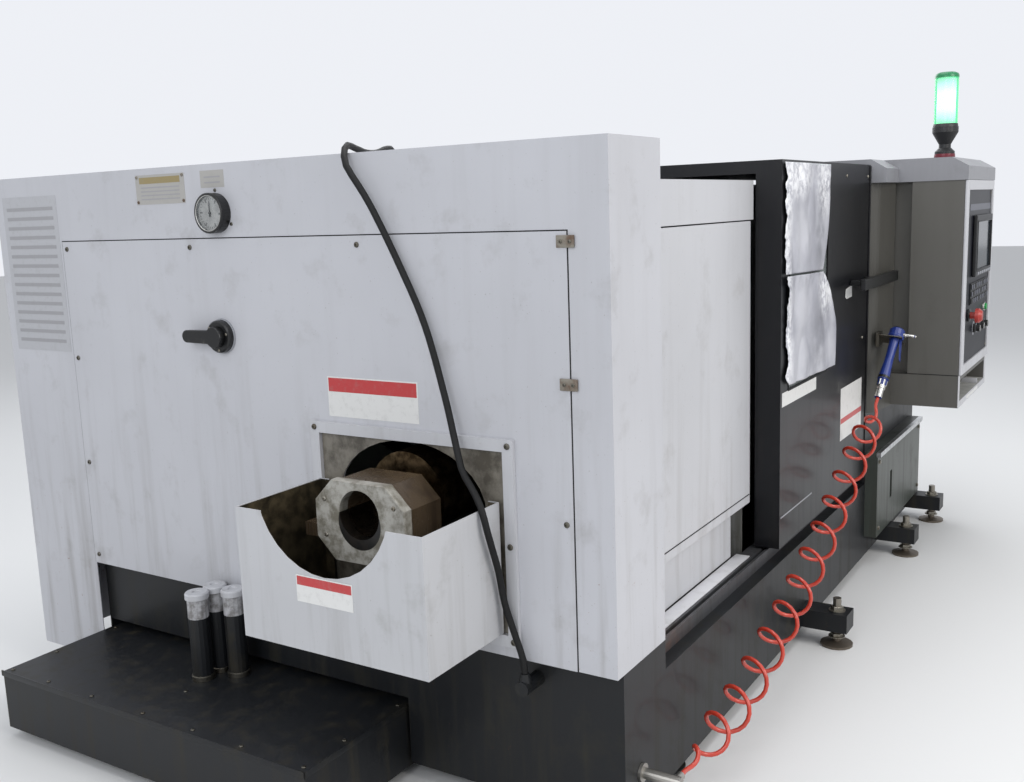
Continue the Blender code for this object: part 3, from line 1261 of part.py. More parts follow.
def roof_and_back():
    """Roof sheet, right end sheet, rear sheet, and the electrical cabinet with its door."""
    left = COVER_LENGTH + SEAT_GAP
    right = MACHINE_LENGTH - SHEET - SEAT_GAP
    panel_end = FIXED_END + SEAT_GAP
    outline = [
        (left, UPPER_RETURN + SEAT_GAP), (panel_end, UPPER_RETURN + SEAT_GAP), (panel_end, ROOF_FRONT),
        (RIGHT_START, ROOF_FRONT), (RIGHT_START, SHEET * 2), (right, SHEET * 2),
        (right, CABINET_SKIN_BACK), (CABINET_X, CABINET_SKIN_BACK), (CABINET_X, REAR_SKIRT_Y - SHEET - SEAT_GAP),
        (left, REAR_SKIRT_Y - SHEET - SEAT_GAP),
    ]
    roof = extruded("roof_cover", outline, ROOF_HEIGHT - SHEET, ROOF_HEIGHT, "Z", "light_panel")
    join(roof, gland("top_gland", (TOP_GLAND_X, TOP_GLAND_Y, ROOF_HEIGHT), "Z"))
    block("right_end_cover", (MACHINE_LENGTH - SHEET, 0, BASE_RIGHT_DECK + SEAT_GAP),
          (MACHINE_LENGTH, CABINET_DOOR_BACK - SEAT_GAP, ROOF_HEIGHT), "light_panel")
    low = BASE_DECK + SEAT_GAP
    under = BASE_RIGHT_DECK - SEAT_GAP
    skirt_end = LINING_RIGHT + SHEET
    cabinet_side = CABINET_X - SEAT_GAP
    outline = [
        (left, low), (skirt_end, low), (skirt_end, under), (cabinet_side, under), (cabinet_side, ROOF_HEIGHT),
        (left, ROOF_HEIGHT),
    ]
    extruded("rear_cover", outline, REAR_SKIRT_Y - SHEET, REAR_SKIRT_Y, "Y", "light_panel")
    electrical_cabinet(right)


def electrical_cabinet(right):
    """Steel box at the rear, open to the back, with a mounting plate and a hinged door."""
    bottom = BASE_RIGHT_DECK + SEAT_GAP
    top = ROOF_HEIGHT - SHEET - SEAT_GAP
    box = block("electrical_cabinet", (CABINET_X, CABINET_FRONT, bottom), (right, CABINET_SKIN_BACK, top),
                "light_panel")
    hollow = block("cabinet_hollow", (CABINET_X + SHEET, CABINET_FRONT + SHEET, bottom + SHEET),
                   (right - SHEET, CABINET_SKIN_BACK + OVERRUN, top - SHEET), None)
    cut(box, hollow)
    plate = block("mounting_plate_step", (CABINET_X + PLATE_MARGIN, CABINET_FRONT + SHEET / 2, bottom + PLATE_MARGIN),
                  (right - PLATE_MARGIN, CABINET_FRONT + PLATE_STANDOFF, top - PLATE_MARGIN), None)
    join(box, plate)
    hinge = pivot("cabinet_hinge", (right, CABINET_DOOR_BACK, 0))
    width = right - CABINET_X
    thick = CABINET_DOOR_BACK - CABINET_SKIN_BACK - SEAT_GAP
    door = block("electrical_door", (-width, -thick, bottom), (-SEAT_GAP, 0, top), "light_panel", parent=hinge)
    latch_x = -width + LATCH_INSET
    latch = block("door_latch_step", (latch_x, -SHEET, LATCH_Z),
                  (latch_x + LATCH_WIDTH, REAR_HANDLE, LATCH_Z + LATCH_LENGTH), None, parent=hinge)
    return join(door, latch)


def control_cabinet():
    """Grey control cabinet that stands out in front, narrower at its back, with an open shelf below."""
    body = block("control_cabinet", (CONTROL_START, CONTROL_FRONT, SHELF_BOTTOM),
                 (CONTROL_END, SHELF_BACK, CONTROL_TOP), "grey_panel")
    behind = block("neck_left_cut", (CONTROL_START - OVERRUN, CONTROL_BACK, CONTROL_BOTTOM),
                   (CONTROL_START + NECK_INSET, SHELF_BACK + OVERRUN, CONTROL_TOP + OVERRUN), None)
    beside = block("neck_right_cut", (CONTROL_END - NECK_INSET, CONTROL_BACK, CONTROL_BOTTOM),
                   (CONTROL_END + OVERRUN, SHELF_BACK + OVERRUN, CONTROL_TOP + OVERRUN), None)
    pocket = block("shelf_cutter", (CONTROL_START + SHELF_WALL, CONTROL_FRONT - OVERRUN, SHELF_BOTTOM + SHELF_WALL),
                   (CONTROL_END - SHELF_WALL, CONTROL_FRONT + SHELF_POCKET, CONTROL_BOTTOM - SHELF_WALL), None)
    for cutter in (behind, beside, pocket):
        cut(body, cutter)
    face = CONTROL_FRONT - SEAT_GAP
    bezel = block("control_bezel", (CONTROL_START, face - BEZEL_THICK, CONTROL_BOTTOM),
                  (CONTROL_END, face, CONTROL_TOP), "light_panel")
    corner = (CONTROL_START + BEZEL_BORDER, face - BEZEL_THICK - OVERRUN, CONTROL_BOTTOM + BEZEL_BORDER)
    window = block("bezel_window", corner,
                   (CONTROL_END - BEZEL_BORDER, face + OVERRUN, CONTROL_TOP - BEZEL_BORDER), None)
    cut(soften(bezel, EDGE_ROUND), window)
    low = CONTROL_BOTTOM + BEZEL_BORDER + SEAT_GAP
    high = CONTROL_TOP - BEZEL_BORDER - SEAT_GAP
    left = CONTROL_START + BEZEL_BORDER + SEAT_GAP
    right = CONTROL_END - BEZEL_BORDER - SEAT_GAP
    plate = block("control_face", (left, face - FACE_THICK, low), (right, face, high), "black_panel")
    holes = (("stop", STOP_X, STOP_Z, STOP_STEM_RADIUS), ("start", BUTTON_X, BUTTON_Z, BUTTON_RADIUS))
    for name, hole_x, hole_z, radius in holes:
        well = rod(name + "_well", hole_radius(radius), face - FACE_THICK - OVERRUN, CONTROL_FRONT + OVERRUN, "Y",
                   (hole_x, hole_z), None)
        cut(plate, well)
        cut(body, well)
    return face - FACE_THICK - SEAT_GAP


def control_fittings(face):
    """Screen, key plate, knobs, buttons and the stop button on the black control face."""
    front = face - SCREEN_THICK
    screen = block("control_screen", (SCREEN_START, front, SCREEN_BOTTOM), (SCREEN_END, face, SCREEN_TOP), "grey_panel")
    sink = block("screen_sink", (SCREEN_START + SCREEN_FRAME, front - OVERRUN, SCREEN_BOTTOM + SCREEN_FRAME),
                 (SCREEN_END - SCREEN_FRAME, front + SCREEN_SINK, SCREEN_TOP - SCREEN_FRAME), None)
    cut(soften(screen, EDGE_ROUND), sink)
    key_plate(face)
    span = SCREEN_END - SCREEN_START
    for number, share in enumerate(KNOB_SHARES):
        knob(f"override_knob_{number + 1}", SCREEN_START + span * share, face)
    stop_axis = pivot("stop_slide", (STOP_X, face, STOP_Z))
    profile = [
        (0, STOP_STEM + STOP_HEAD), (STOP_RADIUS * 2 / 3, STOP_STEM + STOP_HEAD),
        (STOP_RADIUS, STOP_STEM + STOP_HEAD / 2), (STOP_RADIUS, STOP_STEM), (STOP_STEM_RADIUS, STOP_STEM),
        (STOP_STEM_RADIUS, -FACE_THICK), (0, -FACE_THICK),
    ]
    turned("emergency_stop", profile, "red_plastic", (0, 0, 0), "-Y", parent=stop_axis)
    button_axis = pivot("start_slide", (BUTTON_X, face, BUTTON_Z))
    profile = [(0, BUTTON_DEPTH), (BUTTON_RADIUS, BUTTON_DEPTH), (BUTTON_RADIUS, -FACE_THICK), (0, -FACE_THICK)]
    turned("start_button", profile, "green_plastic", (0, 0, 0), "-Y", parent=button_axis)


def key_plate(face):
    """Plate with rows of raised keys, moulded as one sheet."""
    plate = block("key_plate", (KEYS_START, face - KEYS_THICK, KEYS_BOTTOM), (SCREEN_END, face, KEYS_TOP),
                  "black_plastic")
    pitch_x = (SCREEN_END - KEYS_START) / KEY_COLUMNS
    pitch_z = (KEYS_TOP - KEYS_BOTTOM) / KEY_ROWS
    for row in range(KEY_ROWS):
        for column in range(KEY_COLUMNS):
            middle_x = KEYS_START + pitch_x * (column + 1 / 2)
            middle_z = KEYS_BOTTOM + pitch_z * (row + 1 / 2)
            half_x = pitch_x * KEY_SHARE / 2
            half_z = pitch_z * KEY_SHARE / 2
            low = (middle_x - half_x, face - KEYS_THICK - KEY_RISE, middle_z - half_z)
            key = block(f"key_{row}_{column}", low, (middle_x + half_x, face - KEYS_THICK / 2, middle_z + half_z), None)
            join(plate, key)
    return plate


def knob(name, knob_x, face):
    """Turned override knob with a pointer ridge."""
    axis = pivot(name + "_axis", (knob_x, face, KNOB_Z))
    profile = [(0, KNOB_DEPTH), (KNOB_RADIUS * 3 / 4, KNOB_DEPTH), (KNOB_RADIUS * 3 / 4, KNOB_DEPTH / 2),
               (KNOB_RADIUS, KNOB_DEPTH / 3), (KNOB_RADIUS, 0), (0, 0)]
    body = turned(name, profile, "black_plastic", (0, 0, 0), "-Y", SMALL_SIDES, axis)
    ridge = block(name + "_ridge", (-KNOB_RADIUS / 6, -KNOB_DEPTH - SHEET, -KNOB_RADIUS * 2 / 3),
                  (KNOB_RADIUS / 6, -KNOB_DEPTH / 2, KNOB_RADIUS * 2 / 3), None, parent=axis)
    return join(body, ridge)


def cabinet_cap():
    """Sloped cap over the control cabinet and the column, and the signal tower on it."""
    wide = [
        (CAP_FRONT, CONTROL_TOP + SEAT_GAP), (COLUMN_FRONT + SHEET, CONTROL_TOP + SEAT_GAP),
        (COLUMN_FRONT + SHEET, ROOF_HEIGHT + SEAT_GAP),
        (CAP_BACK, ROOF_HEIGHT + SEAT_GAP), (CAP_BACK, CAP_TOP), (CAP_SLOPE, CAP_TOP), (CAP_FRONT, CAP_BROW),
    ]
    cap = extruded("cabinet_cap", wide, CONTROL_START - SHEET, MACHINE_LENGTH, "X", "grey_panel")
    narrow = [
        (CAP_COLUMN_FRONT, COLUMN_TOP + SEAT_GAP), (0, COLUMN_TOP + SEAT_GAP), (0, ROOF_HEIGHT + SEAT_GAP),
        (CAP_BACK, ROOF_HEIGHT + SEAT_GAP), (CAP_BACK, CAP_TOP), (0, CAP_TOP), (CAP_COLUMN_FRONT, CAP_BROW),
    ]
    join(cap, extruded("column_cap", narrow, RIGHT_START, CONTROL_START, "X", None))
    base = CAP_TOP + SEAT_GAP
    cup = base + TOWER_FOOT
    profile = [
        (0, cup + TOWER_CUP), (TOWER_CUP_RADIUS, cup + TOWER_CUP), (TOWER_CUP_RADIUS, cup + TOWER_CUP * 3 / 4),
        (TOWER_NECK_RADIUS, cup + TOWER_CUP / 6), (TOWER_NECK_RADIUS, cup),
        (TOWER_FOOT_RADIUS, cup - TOWER_FOOT / 3), (TOWER_FOOT_RADIUS, base), (0, base),
    ]
    turned("signal_stem", profile, "black_plastic", (TOWER_X, TOWER_Y, 0), "Z")
    low = cup + TOWER_CUP + SEAT_GAP
    high = low + LAMP_HEIGHT
    profile = [
        (0, high), (LAMP_RADIUS - LAMP_ROUND, high), (LAMP_RADIUS, high - LAMP_ROUND), (LAMP_RADIUS, low), (0, low),
    ]
    turned("signal_lamp", profile, "green_lens", (TOWER_X, TOWER_Y, 0), "Z")


def base_front_cover():
    """Cover on the base front with a bright ledge along its top and a slot to grip."""
    cover = block("base_front_cover", (FRONT_COVER_START, FRONT_COVER_Y, FRONT_COVER_BOTTOM),
                  (FRONT_COVER_END, -SEAT_GAP, FRONT_COVER_TOP), "base_black")
    slot = block("grip_slot", (SLOT_X - SLOT_WIDTH / 2, FRONT_COVER_Y - OVERRUN, SLOT_LOW),
                 (SLOT_X + SLOT_WIDTH / 2, FRONT_COVER_Y + SLOT_DEPTH, SLOT_HIGH), None)
    cut(cover, slot)
    ledge = block("front_ledge", (FRONT_COVER_START, LEDGE_REACH, FRONT_COVER_TOP - LEDGE_THICK),
                  (FRONT_COVER_END, -SEAT_GAP, FRONT_COVER_TOP + LEDGE_THICK), None)
    return join(cover, ledge)


def coolant_tank():
    """Long tank that slides out to the left, with a lidded end, three pump caps and two skids."""
    tank = block("coolant_tank", (TANK_START, TANK_FRONT, TANK_BOTTOM), (TANK_END, TANK_BACK, TANK_TOP), "base_black")
    hollow = block("tank_hollow", (TANK_LID_END, TANK_FRONT + TANK_WALL, TANK_BOTTOM + TANK_WALL),
                   (TANK_END - TANK_WALL, TANK_BACK - TANK_WALL, TANK_TOP + OVERRUN), None)
    cut(tank, hollow)
    for number, inset in enumerate((SKID_INSET, TANK_BACK - TANK_FRONT - SKID_INSET - SKID_WIDTH)):
        skid_y = TANK_FRONT + inset
        skid = block(f"skid_{number}", (TANK_START + SKID_INSET, skid_y, 0),
                     (TANK_END - SKID_INSET, skid_y + SKID_WIDTH, TANK_BOTTOM + TANK_WALL / 2), None)
        join(tank, skid)
    for number, (pump_x, pump_y) in enumerate(PUMP_PLACES):
        profile = [
            (0, PUMP_TOP), (PUMP_RADIUS, PUMP_TOP), (PUMP_RADIUS, PUMP_TOP - PUMP_CAP),
            (PUMP_RADIUS - PUMP_LIP, PUMP_TOP - PUMP_CAP), (PUMP_RADIUS - PUMP_LIP, TANK_TOP - TANK_WALL),
            (0, TANK_TOP - TANK_WALL),
        ]
        join(tank, turned(f"pump_{number}", profile, None, (pump_x, pump_y, 0), "Z", SMALL_SIDES))
    return tank


def column_face(column_x):
    """Place along y of the column's outer face beside the door, at a place past its rounded corner."""
    start_x = RIGHT_START + COLUMN_RADIUS
    start_y = COLUMN_BULGE - COLUMN_RADIUS
    share = (column_x - start_x) / (COLUMN_END - start_x)
    return start_y + (COLUMN_FRONT - start_y) * share


def gun_holder(hang):
    """Slotted plate that the gun hangs in, square to the gun, on a block on the column's face."""
    plate = block("gun_holder", (-HOLDER_REACH, -HOLDER_REACH, -HOLDER_PLATE), (HOLDER_REACH, HOLDER_ARM, 0),
                  "dark_steel", parent=hang)
    face = column_face(GUN_X + HOLDER_REACH) - SEAT_GAP
    wall = block("holder_wall", (GUN_X - HOLDER_REACH, face - HOLDER_WALL, GUN_REST - HOLDER_WALL_HALF),
                 (GUN_X + HOLDER_REACH, face, GUN_REST + HOLDER_WALL_HALF), None)
    join(plate, wall)
    slot = rod("holder_slot", HOLDER_SLOT, -HOLDER_PLATE - OVERRUN, OVERRUN, "Z", (0, 0), None, SMALL_SIDES, hang)
    half = HOLDER_SLOT * 2 / 3
    mouth = block("holder_mouth", (-half, -HOLDER_REACH - OVERRUN, -HOLDER_PLATE - OVERRUN), (half, 0, OVERRUN), None,
                  parent=hang)
    return cut(cut(plate, slot), mouth)


def air_gun():
    """Blue air gun hung by its head from the column, leaning to the left, with a steel fitting for the hose."""
    turn = Matrix.Rotation(GUN_LEAN_LEFT, 3, "Y") @ Matrix.Rotation(GUN_LEAN_BACK, 3, "X")
    hang = pivot("gun_hang", (GUN_X, GUN_Y, GUN_REST), turn=turn)
    gun_holder(hang)
    profile = [
        (0, GUN_HEAD), (GUN_HEAD_RADIUS - GUN_HEAD_CHAMFER, GUN_HEAD), (GUN_HEAD_RADIUS, GUN_HEAD - GUN_HEAD_CHAMFER),
        (GUN_HEAD_RADIUS, SEAT_GAP), (GRIP_TOP_RADIUS, SEAT_GAP), (GRIP_TOP_RADIUS * 7 / 8, -GRIP_LENGTH / 2),
        (GRIP_LOW_RADIUS, -GRIP_LENGTH), (0, -GRIP_LENGTH),
    ]
    gun = turned("air_gun", profile, "blue_plastic", (0, 0, 0), "Z", SMALL_SIDES, hang)
    nozzle = rod("gun_nozzle", NOZZLE_RADIUS, -NOZZLE_REACH, 0, "Y", (0, GUN_HEAD / 2), None, SMALL_SIDES, hang)
    join(gun, nozzle)
    trigger(hang)
    nut_end = -GRIP_LENGTH - FITTING_LENGTH / 2
    tube_end = -GRIP_LENGTH - FITTING_LENGTH
    profile = [
        (0, FITTING_SINK - GRIP_LENGTH), (FITTING_HEX, FITTING_SINK - GRIP_LENGTH), (FITTING_HEX, nut_end),
        (FITTING_RADIUS, nut_end), (FITTING_RADIUS, tube_end), (0, tube_end),
    ]
    join(gun, turned("hose_fitting", profile, None, (0, 0, 0), "Z", SMALL_SIDES, hang))
    return turn


def trigger(hang):
    """Lever trigger in front of the grip, hinged under the holder's plate."""
    hinge_y = -GRIP_TOP_RADIUS - SEAT_GAP - TRIGGER_THICK / 2
    hinge_z = -HOLDER_PLATE - TRIGGER_GAP - TRIGGER_THICK / 2
    axis = pivot("trigger_axis", (0, hinge_y, hinge_z), hang)
    outline = [
        (TRIGGER_THICK / 2, TRIGGER_THICK / 2), (-TRIGGER_THICK / 2, TRIGGER_THICK / 2),
        (-TRIGGER_THICK / 2 - TRIGGER_STAND, -TRIGGER_LENGTH), (-TRIGGER_STAND, -TRIGGER_LENGTH),
    ]
    return extruded("gun_trigger", outline, -TRIGGER_WIDTH / 2, TRIGGER_WIDTH / 2, "X", "blue_plastic", axis)


def smooth_route(points, step):
    """Evenly stepped points along a smooth curve through a route's own points."""
    dense = []
    count = len(points)
    pieces = 24
    for i in range(count - 1):
        before = Vector(points[max(i - 1, 0)])
        here = Vector(points[i])
        there = Vector(points[i + 1])
        after = Vector(points[min(i + 2, count - 1)])
        for k in range(pieces):
            t = k / pieces
            spread = (here * 2 + (there - before) * t + (before * 2 - here * 5 + there * 4 - after) * t ** 2
                      + (here * 3 - before - there * 3 + after) * t ** 3) / 2
            dense.append(spread)
    dense.append(Vector(points[-1]))
    total = sum((b - a).length for a, b in zip(dense, dense[1:]))
    runs = max(2, round(total / step))
    route = [dense[0]]
    walked = 0
    target = 1
    for a, b in zip(dense, dense[1:]):
        length = (b - a).length
        while target < runs and walked + length >= total * target / runs:
            share = (total * target / runs - walked) / length
            route.append(a.lerp(b, share))
            target += 1
        walked += length
    route.append(dense[-1])
    return route


def cord(name, points, radius, step, finish):
    """Round cord or hose with closed ends: straight at both ends, and smooth between them."""
    curve = bpy.data.curves.new(name, "CURVE")
    curve.dimensions = "3D"
    curve.bevel_depth = radius
    curve.bevel_resolution = 2
    curve.use_fill_caps = True
    route = [Vector(points[0])] + smooth_route(points[1:-1], step) + [Vector(points[-1])]
    spline = curve.splines.new("POLY")
    spline.points.add(len(route[1:]))
    for point, at in zip(spline.points, route):
        point.co = (*at, 1)
    thing = bpy.data.objects.new(name, curve)
    PARTS.objects.link(thing)
    thing.parent = FRAME
    paint(thing, finish)
    return thing


def hose_and_cable(gun_turn):
    """The coiled air hose as its outer tube, and the black cable from the roof to the base."""
    heading = gun_turn @ Vector((0, 0, -1))
    mouth = Vector((GUN_X, GUN_Y, GUN_REST)) + heading * (GRIP_LENGTH + FITTING_LENGTH + SEAT_GAP)
    plug = (COUPLER_X + COUPLER_SPOUT, -COUPLER_REACH, COUPLER_Z)
    route = (mouth, mouth + heading * HOSE_LEAD) + HOSE_POINTS + (plug,)
    cord("air_hose", route, HOSE_RADIUS, HOSE_STEP, "red_hose")
    top = (TOP_GLAND_X, TOP_GLAND_Y, ROOF_HEIGHT + GLAND_LENGTH + SEAT_GAP)
    low = (LOW_GLAND_X, LOW_GLAND_Y, LOW_GLAND_Z + GLAND_LENGTH + SEAT_GAP)
    cord("power_cable", (top,) + CABLE_POINTS + (low,), CABLE_RADIUS, CABLE_STEP, "rubber")


def centre_machine():
    """Moves the frame so that the origin is on the floor under the middle of the machine's box, cords apart."""
    bpy.context.view_layer.update()
    graph = bpy.context.evaluated_depsgraph_get()
    corners = []
    for thing in PARTS.objects:
        if thing.type != "EMPTY" and thing.name not in ("air_hose", "power_cable"):
            seen = thing.evaluated_get(graph)
            corners += [seen.matrix_world @ Vector(corner) for corner in seen.bound_box]
    middle_x = (min(c.x for c in corners) + max(c.x for c in corners)) / 2
    middle_y = (min(c.y for c in corners) + max(c.y for c in corners)) / 2
    FRAME.location = (-middle_x, -middle_y, 0)


def build():
    base_casting()
    slant_bed()
    headstock()
    spindle_line()
    coolant_collector()
    spindle_motor()
    saddle_group()
    tailstock()
    end_cover()
    access_panel()
    opening_frame()
    chip_guard()
    pressure_gauge()
    isolator_switch()
    front_panels()
    door_track()
    sliding_door()
    work_lining()
    right_panel()
    roof_and_back()
    control_fittings(control_cabinet())
    cabinet_cap()
    base_front_cover()
    coolant_tank()
    hose_and_cable(air_gun())
    centre_machine()


build()
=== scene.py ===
import math

import bmesh
import bpy
from mathutils import Matrix, Vector, noise


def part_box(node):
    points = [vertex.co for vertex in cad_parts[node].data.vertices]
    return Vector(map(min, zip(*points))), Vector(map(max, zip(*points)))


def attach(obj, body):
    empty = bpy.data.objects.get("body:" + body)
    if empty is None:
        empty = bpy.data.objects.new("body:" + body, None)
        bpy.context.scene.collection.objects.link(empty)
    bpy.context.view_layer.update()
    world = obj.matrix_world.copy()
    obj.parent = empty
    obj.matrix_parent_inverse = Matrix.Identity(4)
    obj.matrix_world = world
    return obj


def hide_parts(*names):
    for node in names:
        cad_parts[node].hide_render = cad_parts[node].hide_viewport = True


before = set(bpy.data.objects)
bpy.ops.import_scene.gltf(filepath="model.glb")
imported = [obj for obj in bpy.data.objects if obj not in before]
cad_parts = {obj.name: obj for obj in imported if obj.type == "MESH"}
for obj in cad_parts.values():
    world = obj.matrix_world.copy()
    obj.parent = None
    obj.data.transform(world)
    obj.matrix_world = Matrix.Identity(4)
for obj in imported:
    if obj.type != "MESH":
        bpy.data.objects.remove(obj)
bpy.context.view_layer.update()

# The machine's own axes start at the foot of the left end cover's front edge.
cover_low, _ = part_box("end_cover")
SHIFT = Vector((cover_low.x, cover_low.y, 0))


# Places along the machine's own axes, in metres.
SPINDLE_Y = 0.59
SPINDLE_Z = 0.82
COLLECTOR_Z = 0.798
GAUGE_Y = 1.213
GAUGE_Z = 1.555
FEET = (1.45, 2.54, 3.10)
FOOT_Y = -0.12

LEFT = (-1, 0, 0)
RIGHT = (1, 0, 0)
FRONT = (0, -1, 0)
BACK = (0, 1, 0)
UP = (0, 0, 1)


def at(x, y, z):
    """A point given along the machine's own axes, in the row frame."""
    return Vector((x, y, z)) + SHIFT


# Camera

def photo_camera():
    right = Vector((0.5304756, -0.8469781, -0.0349828))
    down = Vector((-0.1620611, -0.0608218, -0.9849045))
    ahead = Vector((0.8320648, 0.5281372, -0.1695267))
    turn = Matrix((right, -down, -ahead)).transposed()
    data = bpy.data.cameras.new("photo_camera")
    data.sensor_width = 36
    data.lens = 37.06
    camera = bpy.data.objects.new("photo_camera", data)
    camera.matrix_world = Matrix.Translation(at(-2.076, -1.052, 1.536)) @ turn.to_4x4()
    bpy.context.scene.collection.objects.link(camera)
    bpy.context.scene.camera = camera


photo_camera()


# Shapes

def piece(name, shape, material, body="machine", smooth=True):
    """Turns a shape into a mesh and puts it in the scene, dressed, riding on one body."""
    bmesh.ops.recalc_face_normals(shape, faces=shape.faces)
    mesh = bpy.data.meshes.new(name)
    shape.to_mesh(mesh)
    shape.free()
    if smooth:
        mesh.shade_smooth()
        mesh.set_sharp_from_angle(angle=math.radians(35))
    thing = bpy.data.objects.new(name, mesh)
    bpy.context.scene.collection.objects.link(thing)
    thing.data.materials.append(material)
    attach(thing, body)
    return thing


def bars(name, boxes, material, body="machine", edge=0.001):
    """Boxes with rounded edges in one mesh; each has two corners along the machine's own axes."""
    shape = bmesh.new()
    for corners in boxes:
        low, high = (at(*corner) for corner in corners)
        made = bmesh.ops.create_cube(shape, size=1)["verts"]
        bmesh.ops.scale(shape, vec=high - low, verts=made)
        bmesh.ops.translate(shape, vec=(low + high) / 2, verts=made)
        if edge:
            edges = list({e for v in made for e in v.link_edges})
            bmesh.ops.bevel(shape, geom=edges, offset=edge, segments=2, affect="EDGES", profile=0.6)
    return piece(name, shape, material, body)


def add_turned(shape, profile, centre, axis, sides=32, ring=False):
    """Adds a turned form: (radius, height) pairs in millimetres, swept about an axis.

    A ring closes on itself, with no end caps.
    """
    axis = Vector(axis).normalized()
    side = axis.orthogonal().normalized()
    other = axis.cross(side)
    loops = []
    for radius, height in profile:
        middle = centre + axis * (height / 1000)
        if radius == 0:
            loops.append([shape.verts.new(middle)])
            continue
        loop = []
        for i in range(sides):
            angle = math.tau * i / sides
            across = side * math.cos(angle) * (radius / 1000)
            loop.append(shape.verts.new(middle + across + other * math.sin(angle) * (radius / 1000)))
        loops.append(loop)
    for first, second in zip(loops, loops[1:] + (loops[:1] if ring else [])):
        for i in range(sides):
            j = (i + 1) % sides
            if len(first) == 1:
                shape.faces.new((first[0], second[i], second[j]))
            elif len(second) == 1:
                shape.faces.new((first[i], second[0], first[j]))
            else:
                shape.faces.new((first[i], second[i], second[j], first[j]))
    for loop in () if ring else (loops[0], loops[-1]):
        if len(loop) > 1:
            shape.faces.new(loop)


def turned(name, profile, centre, axis, material, body="machine", sides=48, ring=False):
    shape = bmesh.new()
    add_turned(shape, profile, centre, axis, sides, ring)
    return piece(name, shape, material, body)


def pan_heads(name, places, axis, radius, material, body="machine"):
    """Small domed screw heads with a round recess, all in one mesh; radius in millimetres."""
    shape = bmesh.new()
    high = radius * 0.55
    profile = [(radius, 0), (radius, high * 0.45), (radius * 0.82, high * 0.85), (radius * 0.42, high),
               (radius * 0.40, high * 0.45), (0, high * 0.45)]
    for place in places:
        add_turned(shape, profile, at(*place), axis, 14)
    return piece(name, shape, material, body)


def hex_heads(name, places, axis, radius, high, material):
    """Hexagon heads on washers, all in one mesh; radius and height in millimetres."""
    shape = bmesh.new()
    washer = [(radius * 1.35, 0), (radius * 1.35, high * 0.18), (radius * 1.2, high * 0.2), (0, high * 0.2)]
    head = [(radius, high * 0.1), (radius, high * 0.9), (radius * 0.86, high), (0, high)]
    for place in places:
        add_turned(shape, washer, at(*place), axis, 20)
        add_turned(shape, head, at(*place), axis, 6)
    return piece(name, shape, material, smooth=False)


# Routes of the hose and the cable

def smooth_route(points, step):
    """Evenly stepped points along a smooth curve through a route's own points."""
    dense = []
    count = len(points)
    for i in range(count - 1):
        before = Vector(points[max(i - 1, 0)])
        here = Vector(points[i])
        there = Vector(points[i + 1])
        after = Vector(points[min(i + 2, count - 1)])
        for k in range(24):
            t = k / 24
            second = before * 2 - here * 5 + there * 4 - after
            third = here * 3 - before - there * 3 + after
            dense.append((here * 2 + (there - before) * t + second * t ** 2 + third * t ** 3) / 2)
    dense.append(Vector(points[-1]))
    total = sum((b - a).length for a, b in zip(dense, dense[1:]))
    runs = max(2, round(total / step))
    route = [dense[0]]
    walked = 0
    target = 1
    for a, b in zip(dense, dense[1:]):
        length = (b - a).length
        while target < runs and walked + length >= total * target / runs:
            route.append(a.lerp(b, (total * target / runs - walked) / length))
            target += 1
        walked += length
    route.append(dense[-1])
    return route


def tube(name, route, radius, material):
    """A round tube along a route, with closed ends."""
    curve = bpy.data.curves.new(name, "CURVE")
    curve.dimensions = "3D"
    curve.bevel_depth = radius
    curve.bevel_resolution = 4
    curve.use_fill_caps = True
    spline = curve.splines.new("POLY")
    spline.points.add(len(route) - 1)
    for point, place in zip(spline.points, route):
        point.co = (*place, 1)
    spline.use_smooth = True
    thing = bpy.data.objects.new(name, curve)
    bpy.context.scene.collection.objects.link(thing)
    curve.materials.append(material)
    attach(thing, "machine")
    return thing


def length_of(route):
    return sum((b - a).length for a, b in zip(route, route[1:]))


# Materials

def paint(code):
    """An sRGB hex colour as the linear colour that a shader takes."""
    parts = [int(code[i:i + 2], 16) / 255 for i in (1, 3, 5)]
    return tuple(c / 12.92 if c <= 0.04045 else ((c + 0.055) / 1.055) ** 2.4 for c in parts) + (1,)


def colour_by(tree, shader, colour):
    tree.links.new(colour, shader.inputs["Base Color"])


def dimmed(code, share):
    """A hex colour at a share of its brightness."""
    return tuple(c * share for c in paint(code)[:3]) + (1,)


def add(tree, kind, inputs=None, **settings):
    """Adds one node: settings are its properties, and an input takes a value or another node's output."""
    made = tree.nodes.new("ShaderNode" + kind)
    for key, value in settings.items():
        setattr(made, key, value)
    for key, value in (inputs or {}).items():
        if isinstance(value, bpy.types.NodeSocket):
            tree.links.new(value, made.inputs[key])
        else:
            made.inputs[key].default_value = value
    return made


def start(name, roughness=0.5, metallic=0.0, **sockets):
    """A new Principled material, its node tree, its shader and the object coordinates in metres."""
    material = bpy.data.materials.new(name)
    material.use_nodes = True
    tree = material.node_tree
    shader = tree.nodes["Principled BSDF"]
    shader.inputs["Roughness"].default_value = roughness
    shader.inputs["Metallic"].default_value = metallic
    for key, value in sockets.items():
        shader.inputs[key.replace("_", " ")].default_value = value
    place = add(tree, "TexCoord").outputs["Object"]
    return material, tree, shader, place


def grain(tree, place, size_mm, detail=2.0, roughness=0.5, stretch=None):
    """Noise whose features are about size_mm across."""
    if stretch:
        place = add(tree, "Mapping", {"Vector": place, "Scale": stretch}).outputs["Vector"]
    inputs = {"Vector": place, "Scale": 1000 / size_mm, "Detail": detail, "Roughness": roughness}
    return add(tree, "TexNoise", inputs).outputs["Fac"]


def span(tree, value, low, high, to_low=0.0, to_high=1.0):
    inputs = {"Value": value, "From Min": low, "From Max": high, "To Min": to_low, "To Max": to_high}
    return add(tree, "MapRange", inputs).outputs["Result"]


